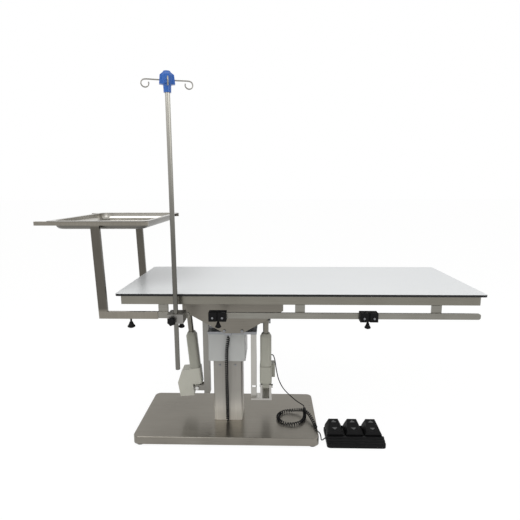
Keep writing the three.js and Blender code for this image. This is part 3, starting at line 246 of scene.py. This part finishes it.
def curled(points, curls, straight):
    """Curls round a route, which fade out into straight ends of that many millimetres."""
    fine = 2000
    line = route(points, fine)
    keep = int(fine * straight / run_length(line))
    inner = line[keep:fine + 1 - keep]
    steps = curls * CURL_STEPS
    even = np.linspace(0, 1, steps + 1)
    whole = np.linspace(0, 1, len(inner))
    axis = np.stack([np.interp(even, whole, inner[:, i]) for i in range(3)], axis=1)
    sides, besides = directions_across(axis)
    count = np.arange(steps + 1)
    turn = 2 * math.pi * count / CURL_STEPS
    fade = np.minimum(1, np.minimum(count, steps - count) / CURL_STEPS)
    reach = CURL_RADIUS * fade * fade * (3 - 2 * fade)
    wound = axis + sides * (reach * np.cos(turn))[:, None] + besides * (reach * np.sin(turn))[:, None]
    return np.vstack([line[:1], wound, line[-1:]])


def covered_wire(name, line):
    """A round, capped tube along the line."""
    sides, besides = directions_across(line)
    turns = 2 * math.pi * np.arange(WIRE_SIDES) / WIRE_SIDES
    rings = (line[:, None] + WIRE_RADIUS * np.cos(turns)[None, :, None] * sides[:, None]
             + WIRE_RADIUS * np.sin(turns)[None, :, None] * besides[:, None])
    corners = [spot(*corner) for corner in rings.reshape(-1, 3)]
    faces = []
    last = len(line) - 1
    for i in range(last):
        for k in range(WIRE_SIDES):
            a = i * WIRE_SIDES + k
            b = i * WIRE_SIDES + (k + 1) % WIRE_SIDES
            faces.append((a, b, b + WIRE_SIDES, a + WIRE_SIDES))
    faces.append(tuple(range(WIRE_SIDES - 1, -1, -1)))
    faces.append(tuple(last * WIRE_SIDES + k for k in range(WIRE_SIDES)))
    mesh = bpy.data.meshes.new(name)
    mesh.from_pydata(corners, [], faces)
    mesh.materials.append(rubber)
    mesh.polygons.foreach_set("use_smooth", [True] * len(mesh.polygons))
    made = bpy.data.objects.new(name, mesh)
    scene.collection.objects.link(made)
    return made


HEAD_UNDERSIDE = 492.7
column_run = curled([
    (8, -97, HEAD_UNDERSIDE), (8, -97, 470), (1, -97, 420), (-1, -96, 362), (-2, -90, 270),
    (-2, -81, 150), (-2, -76.5, 80), (-2, -76, 56), (-2, -76, 41),
], curls=46, straight=8)
column_cord = covered_wire("column_cord", column_run)
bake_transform(column_cord)
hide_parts("column_curly_cord")

lead_run = route([
    (205.3, 45, 340), (215, 45, 339), (224, 46, 318), (233, 47, 262), (246, 48, 205), (270, 49, 157),
    (303, 51, 120), (338, 56, 86), (362, 64, 66), (374, 64, 57.5), (375, 57, 56), (375, 52.3, 56),
], steps=90)
ring_run = curled([
    (375, 52, 56), (375, 38, 56), (375, 10, 56), (372, -30, 56), (362, -68, 56), (336, -98, 56),
    (300, -106, 56), (264, -95, 56), (243, -64, 56), (244, -26, 56), (268, 4, 56), (304, 14, 58),
    (338, 6, 66), (366, -14, 75.5), (388, -44, 76), (404, -82, 66), (414, -116, 57), (417, -138, 56),
    (418, -150, 56),
], curls=50, straight=6)
tail_run = route([
    (418, -150.3, 56), (419, -156, 55.5), (424, -163, 53.5), (431, -166, 47), (436, -165, 32),
    (439, -161, 14), (443, -155, 6), (449, -150, 5), (455, -147.5, 9), (461.5, -147, 12), (469, -147, 12),
], steps=50)
foot_run = np.vstack([lead_run, ring_run[1:], tail_run[1:]])
foot_cord = covered_wire("foot_switch_cord", foot_run)
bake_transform(foot_cord)
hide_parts("foot_cord_lead", "foot_cord_curls", "foot_cord_tail")


# Base: a stainless cover, folded from sheet and belt finished, over a zinc-plated ballast frame.
# Four rubber levelling feet are screwed in under the frame, and the mains inlet is set in the rear wall.
# A worked piece is its solid with rolled or broken edges, and it rides where the solid rides.
def settled(made, **keep):
    """Turns what an object's modifiers make into its own plain mesh."""
    depsgraph = bpy.context.evaluated_depsgraph_get()
    plain = bpy.data.meshes.new_from_object(made.evaluated_get(depsgraph), depsgraph=depsgraph, **keep)
    made.modifiers.clear()
    made.data = plain
    return plain


def worked(node, material, edge, angle, second=None):
    """The node's solid, its edges rolled by that many millimetres where they turn by more than the angle.
    second is another material and a test that picks its faces."""
    soft_below = 75
    shape = bmesh.new()
    shape.from_mesh(frame["nodes"][node].data)
    bmesh.ops.remove_doubles(shape, verts=shape.verts, dist=2e-6)
    bmesh.ops.dissolve_limit(shape, angle_limit=math.radians(0.5), verts=shape.verts, edges=shape.edges)
    bmesh.ops.recalc_face_normals(shape, faces=shape.faces)
    mesh = bpy.data.meshes.new(node + "_worked")
    shape.to_mesh(mesh)
    shape.free()
    mesh.materials.clear()
    mesh.materials.append(material)
    if second:
        mesh.materials.append(second[0])
        for face in mesh.polygons:
            face.material_index = int(second[1](face))
    mesh.polygons.foreach_set("use_smooth", [True] * len(mesh.polygons))
    made = bpy.data.objects.new(node + "_worked", mesh)
    scene.collection.objects.link(made)
    if edge:
        roll = made.modifiers.new("roll", "BEVEL")
        roll.width = edge / 1000
        roll.segments = 2
        roll.limit_method = "ANGLE"
        roll.angle_limit = math.radians(angle)
    even = made.modifiers.new("even", "WEIGHTED_NORMAL")
    even.keep_sharp = True
    mesh.set_sharp_from_angle(angle=math.radians(soft_below if edge else angle))
    settled(made, preserve_all_data_layers=True).name = node + "_worked"
    bodies = frame["record"]["behaviour"]["bodies"]
    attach(made, next(body for body, nodes in bodies.items() if node in nodes))
    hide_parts(node)
    return made


def brushed_metal(name, dark, light, grain, rough, brush=0.02):
    # Satin belt finish on metal: fine lines one way, and soft smears of wear about 170 mm across.
    # Real lines are about 0.3 mm apart; they are drawn 3 mm apart so that they show in the render.
    line_gap = 3
    line_length = 180
    smear_size = 166.7
    material = bpy.data.materials.new(name)
    material.use_nodes = True
    tree = material.node_tree
    shader = tree.nodes["Principled BSDF"]
    shader.inputs["Metallic"].default_value = 1.0
    place = add_node(tree, "ShaderNodeTexCoord")
    stretch = [1000 / (line_length if axis == grain else line_gap) for axis in "XYZ"]
    lay = add_node(tree, "ShaderNodeMapping", {"Vector": place.outputs["Object"], "Scale": stretch})
    lines = add_node(tree, "ShaderNodeTexNoise", {"Vector": lay.outputs[0], "Scale": 1.0, "Detail": 4.0})
    smear = add_node(tree, "ShaderNodeTexNoise",
                     {"Vector": place.outputs["Object"], "Scale": 1000 / smear_size, "Detail": 3.0})
    both = add_node(tree, "ShaderNodeMath",
                    {0: lines.outputs["Fac"], 1: smear.outputs["Fac"]}, operation="ADD")
    wear = add_node(tree, "ShaderNodeMapRange",
                    {"Value": both.outputs[0], "From Min": 0.6, "From Max": 1.4})
    shade = add_node(tree, "ShaderNodeMix",
                     {"Factor": wear.outputs[0], "A": linear(dark), "B": linear(light)}, data_type="RGBA")
    gloss = add_node(tree, "ShaderNodeMapRange",
                     {"Value": wear.outputs[0], "To Min": rough - 0.06, "To Max": rough + 0.08})
    relief = add_node(tree, "ShaderNodeBump",
                      {"Height": lines.outputs["Fac"], "Strength": brush, "Distance": 0.0006})
    tree.links.new(shade.outputs[2], shader.inputs["Base Color"])
    tree.links.new(gloss.outputs[0], shader.inputs["Roughness"])
    tree.links.new(relief.outputs[0], shader.inputs["Normal"])
    return material


# The cover's belt lines run along it and draw reflections out into long streaks.
base_steel = brushed_metal("belt_finished_cover", "#78746c", "#8a867e", grain="X", rough=0.31)
belt_lines = add_node(base_steel.node_tree, "ShaderNodeTangent", direction_type="RADIAL", axis="X")
base_shader = base_steel.node_tree.nodes["Principled BSDF"]
base_shader.inputs["Anisotropic"].default_value = 0.85
base_steel.node_tree.links.new(belt_lines.outputs[0], base_shader.inputs["Tangent"])
# Zinc plating on steel: cool grey, with a soft, broken gloss.
zinc_steel = brushed_metal("zinc_plated_steel", "#85868a", "#9c9ea0", grain="Z", rough=0.42)
worked("base_cover", base_steel, edge=0.8, angle=50)
worked("base_frame", zinc_steel, edge=1.0, angle=50)
for corner in ("front_left", "front_right", "rear_left", "rear_right"):
    worked("foot_" + corner, rubber, edge=0.5, angle=50)


def moulded_plastic(name, dark, light, rough, grain_mm=2.5, depth=0.06, shine=0.5):
    # Injection moulded plastic: even colour with clouds about 70 mm across, and spark-eroded grain.
    # The grain is about 0.2 mm on the real piece and is drawn coarser so that it shows.
    cloud_size = 71.43
    material = bpy.data.materials.new(name)
    material.use_nodes = True
    tree = material.node_tree
    shader = tree.nodes["Principled BSDF"]
    shader.inputs["IOR"].default_value = 1.5
    shader.inputs["Specular IOR Level"].default_value = shine
    place = add_node(tree, "ShaderNodeTexCoord")
    grain = add_node(tree, "ShaderNodeTexNoise",
                     {"Vector": place.outputs["Object"], "Scale": 1000 / grain_mm, "Detail": 2.0})
    tone = add_node(tree, "ShaderNodeTexNoise",
                    {"Vector": place.outputs["Object"], "Scale": 1000 / cloud_size, "Detail": 4.0})
    shade = add_node(tree, "ShaderNodeMix",
                     {"Factor": tone.outputs["Fac"], "A": linear(dark), "B": linear(light)},
                     data_type="RGBA")
    gloss = add_node(tree, "ShaderNodeMapRange",
                     {"Value": tone.outputs["Fac"], "To Min": rough - 0.07, "To Max": rough + 0.07})
    relief = add_node(tree, "ShaderNodeBump",
                      {"Height": grain.outputs["Fac"], "Strength": depth, "Distance": 0.0005})
    tree.links.new(shade.outputs[2], shader.inputs["Base Color"])
    tree.links.new(gloss.outputs[0], shader.inputs["Roughness"])
    tree.links.new(relief.outputs[0], shader.inputs["Normal"])
    return material


# Nylon with glass fibre, moulded: near black, with a dull sheen that shows on edges only.
black_plastic = moulded_plastic("glass_filled_nylon", "#060607", "#0c0c0d", rough=0.5, shine=0.14)
worked("mains_inlet", black_plastic, edge=0.6, angle=32)


# Lifting column: two brushed aluminium tubes, extruded and cut to length, that slide in a nylon guide ring.
# A screw drive stands inside them, and a shroud of painted sheet hides the gap as the column rises.
def by_height(material, stops):
    # A tube's colour made brighter or darker along its height: millimetres, and shares of its colour. On the
    # column and the pole this is painted reflection.
    tallest = 2.0
    tree = material.node_tree
    tint = tree.nodes["Principled BSDF"].inputs["Base Color"]
    place = add_node(tree, "ShaderNodeTexCoord")
    axes = add_node(tree, "ShaderNodeSeparateXYZ", {0: place.outputs["Object"]})
    share = add_node(tree, "ShaderNodeMath", {0: axes.outputs["Z"], 1: tallest}, operation="DIVIDE")
    ramp = add_node(tree, "ShaderNodeValToRGB", {"Fac": share.outputs[0]})
    while len(ramp.color_ramp.elements) < len(stops):
        ramp.color_ramp.elements.new(1.0)
    for element, (height, value) in zip(ramp.color_ramp.elements, stops):
        element.position = height / 1000 / tallest
        element.color = (value, value, value, 1)
    toned = add_node(tree, "ShaderNodeMix",
                     {"Factor": 1.0, "A": tint.links[0].from_socket, "B": ramp.outputs["Color"]},
                     data_type="RGBA", blend_type="MULTIPLY")
    tree.links.new(toned.outputs[2], tint)


# Aluminium brushed upright: soft, matt streaks. Its foot is painted brighter, a painted reflection of the
# bright base, and higher up it is a little darker.
column_metal = brushed_metal("brushed_column_tube", "#98958f", "#aeaba5", grain="Z", rough=0.56)
by_height(column_metal, ((60, 2.3), (110, 2.0), (160, 1.27), (200, 1.02), (300, 0.9)))
worked("column_outer", column_metal, edge=1.2, angle=50)
worked("column_inner", column_metal, edge=1.0, angle=50)
worked("column_glide", black_plastic, edge=0.4, angle=50)
worked("lift_drive", zinc_steel, edge=0.6, angle=40)
# Ground steel: the brightest metal here, close to a mirror.
bright_steel = brushed_metal("ground_bright_steel", "#b4b3b0", "#d6d6d3", grain="Z", rough=0.2)
worked("lift_push_rod", bright_steel, edge=0.5, angle=40)
# Powder coat on sheet steel: satin, with the low waves of its orange peel, about 4 mm apart, where a
# moulded piece has its grain.
grey_paint = moulded_plastic("light_grey_powder_coat", "#b2b3b1", "#bcbdbb", rough=0.4,
                             grain_mm=4.0, depth=0.1)
worked("column_shroud", grey_paint, edge=0.6, angle=50)


# Column screws: zinc-plated socket heads that hold the guide ring, two in each broad face of the tube.
# Geometry Nodes set a head on each point, turned to the way that the point's arrow faces.
def tree_of(name, inputs):
    group = bpy.data.node_groups.new(name, "GeometryNodeTree")
    group.interface.new_socket("Geometry", in_out="OUTPUT", socket_type="NodeSocketGeometry")
    for label, kind in inputs:
        group.interface.new_socket(label, in_out="INPUT", socket_type=kind)
    return group, group.nodes.new("NodeGroupInput"), group.nodes.new("NodeGroupOutput")


screw_tree, screw_in, screw_out = tree_of("socket_screws", (
    ("Points", "NodeSocketGeometry"), ("Radius", "NodeSocketFloat"), ("Height", "NodeSocketFloat"),
    ("Material", "NodeSocketMaterial")))
RIM_SHARE = 0.84
KEY_SHARE = 0.5
rim = add_node(screw_tree, "ShaderNodeMath", {0: screw_in.outputs["Radius"], 1: RIM_SHARE},
               operation="MULTIPLY")
cap = add_node(screw_tree, "GeometryNodeMeshCone", {
    "Vertices": 18, "Radius Bottom": screw_in.outputs["Radius"], "Radius Top": rim.outputs[0],
    "Depth": screw_in.outputs["Height"]})
key_size = add_node(screw_tree, "ShaderNodeMath", {0: screw_in.outputs["Radius"], 1: KEY_SHARE},
                    operation="MULTIPLY")
key = add_node(screw_tree, "GeometryNodeMeshCylinder", {
    "Vertices": 6, "Radius": key_size.outputs[0], "Depth": screw_in.outputs["Height"]})
step_up = add_node(screw_tree, "ShaderNodeCombineXYZ", {"Z": screw_in.outputs["Height"]})
raised = add_node(screw_tree, "GeometryNodeTransform", {
    "Geometry": key.outputs["Mesh"], "Translation": step_up.outputs[0]})
head = add_node(screw_tree, "GeometryNodeMeshBoolean", {
    "Mesh 1": cap.outputs["Mesh"], "Mesh 2": raised.outputs[0]}, operation="DIFFERENCE")
facing = add_node(screw_tree, "GeometryNodeInputNamedAttribute", {"Name": "facing"},
                  data_type="FLOAT_VECTOR")
turned = add_node(screw_tree, "FunctionNodeAlignRotationToVector",
                  {"Vector": facing.outputs["Attribute"]}, axis="Z")
heads = add_node(screw_tree, "GeometryNodeInstanceOnPoints", {
    "Points": screw_in.outputs["Points"], "Instance": head.outputs[0], "Rotation": turned.outputs[0]})
real_heads = add_node(screw_tree, "GeometryNodeRealizeInstances", {"Geometry": heads.outputs[0]})
plated = add_node(screw_tree, "GeometryNodeSetMaterial", {
    "Geometry": real_heads.outputs[0], "Material": screw_in.outputs["Material"]})
screw_tree.links.new(plated.outputs[0], screw_out.inputs[0])


def grown(name, group, values, body, start=None):
    """The plain mesh that a tree makes, riding on its body."""
    crease = 40
    made = bpy.data.objects.new(name, start or bpy.data.meshes.new(name))
    scene.collection.objects.link(made)
    growth = made.modifiers.new("growth", "NODES")
    growth.node_group = group
    for item in group.interface.items_tree:
        if item.in_out == "INPUT" and item.name in values:
            growth[item.identifier] = values[item.name]
    plain = settled(made)
    plain.set_sharp_from_angle(angle=math.radians(crease))
    plain.polygons.foreach_set("use_smooth", [True] * len(plain.polygons))
    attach(made, body)
    return made


def screws(name, body, radius, height, places):
    """Socket heads at points in metres, each point with the way that its head faces."""
    proud_share = 0.3
    mesh = bpy.data.meshes.new(name)
    out = height * proud_share / 1000
    mesh.from_pydata([place + Vector(way) * out for place, way in places], [], [])
    arrows = mesh.attributes.new("facing", "FLOAT_VECTOR", "POINT")
    arrows.data.foreach_set("vector", [c for place, way in places for c in way])
    return grown(name, screw_tree, {"Radius": radius / 1000, "Height": height / 1000, "Material": zinc_steel},
                 body, start=mesh)


def on_faces(low, high, along, height):
    """Screw places on the front and rear faces of a box, that far along from the column and that high."""
    return [(Vector((spot(x, 0, 0).x, face, height / 1000)), (0, way, 0))
            for x in along for face, way in ((low.y, -1), (high.y, 1))]


screws("column_screws", "base", radius=5, height=3,
       places=on_faces(column_low, column_high, along=(-37, 37), height=330))

# Tilting head: zinc-plated head plate with bearing pedestals, cross shafts, lever and hanging arms.
# The heavy pieces are machined or cut from plate, with broken edges; the arms are folded sheet.
# The housing under the top is welded from satin sheet and bolted through its sides.
for node in ("lift_head", "cradle_shaft", "lateral_lever"):
    worked(node, zinc_steel, edge=0.8, angle=45)
for node in ("tilt_shaft", "lateral_lower_pin", "long_lower_pin"):
    worked(node, bright_steel, edge=0.6, angle=45)
# Satin sheet: the lateral arm is pale, and the lengthwise one is darker and duller.
arm_steel = brushed_metal("satin_arm_sheet", "#a6a49f", "#bab8b3", grain="Z", rough=0.32)
worked("lateral_arm", arm_steel, edge=0.6, angle=45)
dull_arm_steel = brushed_metal("dull_arm_sheet", "#85837e", "#97958f", grain="Z", rough=0.4)
worked("long_arm", dull_arm_steel, edge=0.6, angle=45)
# Sheet brushed along the table: warm grey, with long, soft highlights.
housing_steel = brushed_metal("satin_housing_sheet", "#716d65", "#827e76", grain="X", rough=0.3)
worked("tilt_housing", housing_steel, edge=0.8, angle=45)
screws("housing_bolts", "table", radius=7, height=5,
       places=on_faces(*box_of("tilt_housing"), along=(-4, 76), height=527))

# Tilt actuators: off-white and grey moulded housings round a motor, a gear case and a screw, with satin rods.
# The motor lies beside the gear case; both halves are moulded and screwed together.
# The control box on its shelf is moulded in the same off-white plastic.

# Moulded polyamide: chalky and even, off-white on one motor and the control box. The greyer copy on the tubes
# and the lateral motor is darkened as painted shade, the shade that falls on the lateral actuator.
motor_plastic = moulded_plastic("off_white_polyamide", "#b4b3a8", "#c2c1b6", rough=0.48)
shade_darkened_plastic = moulded_plastic("shade_darkened_polyamide", "#98978c", "#a5a499", rough=0.48)
# Drawn steel: dark and smooth, with one narrow highlight.
rod_steel = brushed_metal("drawn_rod", "#6a675f", "#7c7971", grain="Z", rough=0.28)
for which, case_plastic in (("long", motor_plastic), ("lateral", shade_darkened_plastic)):
    worked(which + "_motor", case_plastic, edge=3.0, angle=40)
    worked(which + "_tube", shade_darkened_plastic, edge=1.2, angle=50)
    worked(which + "_rod", rod_steel, edge=0.5, angle=50)
worked("control_box", motor_plastic, edge=1.6, angle=40)


# Table top: white high-pressure laminate on a black solid core, which shows all round as a dark edge.
# It is pressed in one piece, cut with rounded corners and glued down on the frame.
def laminate_face():
    # Pressed melamine: near white, satin, with clouds of cleaning wear and a fine peel in the gloss.
    # The peel is about 1 mm on the real top and is drawn about 3 mm across so that it shows.
    cloud_size = 200
    peel_size = 3.333
    material = bpy.data.materials.new("white_laminate")
    material.use_nodes = True
    tree = material.node_tree
    shader = tree.nodes["Principled BSDF"]
    shader.inputs["IOR"].default_value = 1.5
    place = add_node(tree, "ShaderNodeTexCoord")
    cloud = add_node(tree, "ShaderNodeTexNoise",
                     {"Vector": place.outputs["Object"], "Scale": 1000 / cloud_size, "Detail": 5.0})
    peel = add_node(tree, "ShaderNodeTexNoise",
                    {"Vector": place.outputs["Object"], "Scale": 1000 / peel_size, "Detail": 2.0})
    shade = add_node(tree, "ShaderNodeMix",
                     {"Factor": cloud.outputs["Fac"], "A": linear("#d6d9da"), "B": linear("#dcdedf")},
                     data_type="RGBA")
    gloss = add_node(tree, "ShaderNodeMapRange",
                     {"Value": cloud.outputs["Fac"], "To Min": 0.26, "To Max": 0.32})
    relief = add_node(tree, "ShaderNodeBump",
                      {"Height": peel.outputs["Fac"], "Strength": 0.01, "Distance": 0.0003})
    tree.links.new(shade.outputs[2], shader.inputs["Base Color"])
    tree.links.new(gloss.outputs[0], shader.inputs["Roughness"])
    tree.links.new(relief.outputs[0], shader.inputs["Normal"])
    return material


# Sawn and polished core: black, with a low gloss that catches the light along the edge.
core_edge = moulded_plastic("black_laminate_core", "#101011", "#1a1a1b", rough=0.42, shine=0.25)
worked("table_top", laminate_face(), edge=0.8, angle=50,
       second=(core_edge, lambda face: abs(face.normal.z) < 0.5))

# Frame and accessory rails: stainless box tube and flat bar with a satin finish along their length.
# The frame is welded, and each rail stands off it on welded posts, so that clamps can slide on.

# Satin steel with lines along the bars: warm grey, and a little brighter on the rails.
frame_steel = brushed_metal("satin_frame_tube", "#77746b", "#88857c", grain="X", rough=0.3)
rail_steel = brushed_metal("satin_rail_bar", "#7c7a73", "#908e87", grain="X", rough=0.28)
worked("table_frame", frame_steel, edge=2.0, angle=45)
for node in ("rail_front_long", "rail_front_short", "rail_rear_long", "rail_rear_short"):
    worked(node, rail_steel, edge=0.8, angle=45)

# Rail clamps: black moulded jaws on the rail, screwed together from the front by two socket screws
# and drawn tight by a thumb knob underneath. Geometry Nodes give each knob its ribs: a ring of points
# carries one half-round rib each.
knob_tree, knob_in, knob_out = tree_of("knob_ribs", (
    ("Centre", "NodeSocketVector"), ("Radius", "NodeSocketFloat"), ("Ribs", "NodeSocketInt"),
    ("Rib radius", "NodeSocketFloat"), ("Rib length", "NodeSocketFloat"), ("Material", "NodeSocketMaterial")))
ring = add_node(knob_tree, "GeometryNodeMeshCircle", {
    "Vertices": knob_in.outputs["Ribs"], "Radius": knob_in.outputs["Radius"]})
rib = add_node(knob_tree, "GeometryNodeMeshCylinder", {
    "Vertices": 8, "Radius": knob_in.outputs["Rib radius"], "Depth": knob_in.outputs["Rib length"]})
on_ring = add_node(knob_tree, "GeometryNodeInstanceOnPoints", {
    "Points": ring.outputs[0], "Instance": rib.outputs["Mesh"]})
moved = add_node(knob_tree, "GeometryNodeTransform", {
    "Geometry": on_ring.outputs[0], "Translation": knob_in.outputs["Centre"]})
real_ribs = add_node(knob_tree, "GeometryNodeRealizeInstances", {"Geometry": moved.outputs[0]})
coated = add_node(knob_tree, "GeometryNodeSetMaterial", {
    "Geometry": real_ribs.outputs[0], "Material": knob_in.outputs["Material"]})
knob_tree.links.new(coated.outputs[0], knob_out.inputs[0])
RIB_HEIGHT = 5
RIB_LENGTH = 5
RIB_RADIUS = 1.2
RIB_SINK = 0.5


def thumb_knob(node, body):
    """A moulded knob and its ribs, which turn with the body."""
    worked(node, black_plastic, edge=0.8, angle=40)
    low, high = box_of(node)
    centre = (low + high) / 2
    centre.z = low.z + RIB_HEIGHT / 1000
    grip = (high.y - low.y) / 2
    grown(body + "_ribs", knob_tree, {
        "Centre": centre, "Radius": grip - RIB_SINK / 1000, "Ribs": 18, "Rib radius": RIB_RADIUS / 1000,
        "Rib length": RIB_LENGTH / 1000, "Material": black_plastic}, body)


CLAMP_SCREW_SPREAD = 20
CLAMP_SCREW_HEIGHT = 640
for which in ("a", "b"):
    clamp = "rail_clamp_" + which
    worked(clamp, black_plastic, edge=2.0, angle=40)
    thumb_knob(clamp + "_knob", f"clamp_{which}_knob")
    low, high = box_of(clamp)
    clamp_x = (low.x + high.x) / 2
    screws(f"clamp_{which}_screws", clamp, radius=4.8, height=3, places=[
        (Vector((clamp_x + side * CLAMP_SCREW_SPREAD / 1000, low.y, CLAMP_SCREW_HEIGHT / 1000)), (0, -1, 0))
        for side in (-1, 1)])

# Infusion pole: stainless tube in a cast clamp on the short rail, held by a star knob and a thumb knob.
# A blue moulded hub on top holds two crossing wires, bent into open rings at their ends.

# Fine satin tube, with painted reflection: darker low down for the dark table that it would mirror, and
# brighter higher up for the white room.
pole_steel = brushed_metal("satin_pole_tube", "#8f8d86", "#98968f", grain="Z", rough=0.24, brush=0.004)
by_height(pole_steel, ((650, 0.58), (700, 0.46), (940, 0.45), (1100, 0.72), (1260, 1.05), (1500, 1.5)))
worked("iv_pole", pole_steel, edge=0.6, angle=45)
# Cast steel, tumbled: broad, soft highlights.
clamp_steel = brushed_metal("cast_clamp", "#7c7a76", "#918f8b", grain="X", rough=0.36)
worked("iv_clamp", clamp_steel, edge=2.0, angle=45)
worked("iv_star_knob", black_plastic, edge=0.8, angle=40)
thumb_knob("iv_rail_knob", "iv_rail_knob")
# Moulded acetal: clear blue, smooth and glossy.
blue_plastic = moulded_plastic("blue_acetal", "#164a9a", "#2666b6", rough=0.2, grain_mm=3.0, depth=0.0)
worked("iv_hub", blue_plastic, edge=2.2, angle=30)
# Drawn wire: plain grey, without brushing lines.
hook_steel = brushed_metal("drawn_hook_wire", "#82807a", "#9a9892", grain="X", rough=0.26, brush=0.0)
for node in ("iv_hook_long", "iv_hook_cross"):
    worked(node, hook_steel, edge=0, angle=60)

# Instrument tray: a stainless pan, brighter inside than outside, whose rim lies on two bars.
# Each bar is part of a bracket of square tube, welded, with a sleeve on the short rail and a knob under it.

# Pressed sheet: smooth inside, dark grey and duller outside. The inside's colour is raised as a painted
# reflection, and for the white loose sheet that lies in the pan and is not built.
tray_steel = brushed_metal("pressed_tray_sheet", "#a19e97", "#b4b1aa", grain="Y", rough=0.22)
tray_outside = brushed_metal("dull_tray_outside", "#66645f", "#74726d", grain="Y", rough=0.3)
tray_low, tray_high = box_of("tray_pan")
tray_middle = (tray_low + tray_high) / 2
worked("tray_pan", tray_steel, edge=0.5, angle=60, second=(
    tray_outside, lambda face: face.normal.z < 0.3 and (face.center - tray_middle).dot(face.normal) > 0))
# Satin tube: the uprights are darker than the sleeve below and the bar above.
bracket_steel = brushed_metal("satin_bracket_tube", "#88837a", "#9c978c", grain="Z", rough=0.3)
by_height(bracket_steel, ((662, 0.85), (666, 0.38), (1010, 0.38), (1014, 0.8)))
for which in ("front", "rear"):
    worked("tray_bracket_" + which, bracket_steel, edge=1.2, angle=40)
    thumb_knob("tray_knob_" + which, "tray_knob_" + which)

# Foot switch: a black moulded base with three rocker pedals that rock on pins in its well.
# Each pedal has two grey arrows moulded into its sloping face, one towards each edge.
worked("footswitch_base", black_plastic, edge=1.6, angle=35)
# Moulded inlay: mid grey and matt against the black pedal.
mark_grey = moulded_plastic("grey_moulded_inlay", "#4c4d4d", "#5a5b5b", rough=0.5)
PEDAL_FRONT = Vector((0, -144, 42))
PEDAL_REAR = Vector((0, -65, 62))
MARK_SINK = 0.3
MARK_HEIGHT = 0.5
ARROW = ((-11, -5), (11, -5), (11, -2), (0, 8), (-11, -2))
pedal_run = (PEDAL_REAR - PEDAL_FRONT).normalized()
pedal_up = Vector((1, 0, 0)).cross(pedal_run)
for pedal in ("pedal_left", "pedal_middle", "pedal_right"):
    worked(pedal, black_plastic, edge=3.2, angle=20)
    low, high = box_of(pedal)
    pedal_x = 1000 * ((low.x + high.x) / 2 - column_axis.x)
    shape = bmesh.new()
    for share, way in ((0.26, -1), (0.78, 1)):
        centre = PEDAL_FRONT.lerp(PEDAL_REAR, share) + Vector((pedal_x, 0, 0))
        corners = [centre + Vector((across, 0, 0)) + pedal_run * (along * way) for across, along in ARROW]
        lower = [shape.verts.new(spot(*(c - pedal_up * MARK_SINK))) for c in corners]
        upper = [shape.verts.new(spot(*(c + pedal_up * MARK_HEIGHT))) for c in corners]
        shape.faces.new(upper)
        shape.faces.new(lower[::-1])
        for i in range(len(ARROW)):
            after = (i + 1) % len(ARROW)
            shape.faces.new((lower[i], lower[after], upper[after], upper[i]))
    bmesh.ops.recalc_face_normals(shape, faces=shape.faces)
    mesh = bpy.data.meshes.new(pedal + "_marks")
    shape.to_mesh(mesh)
    shape.free()
    mesh.materials.append(mark_grey)
    marks = bpy.data.objects.new(pedal + "_marks", mesh)
    scene.collection.objects.link(marks)
    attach(marks, pedal)
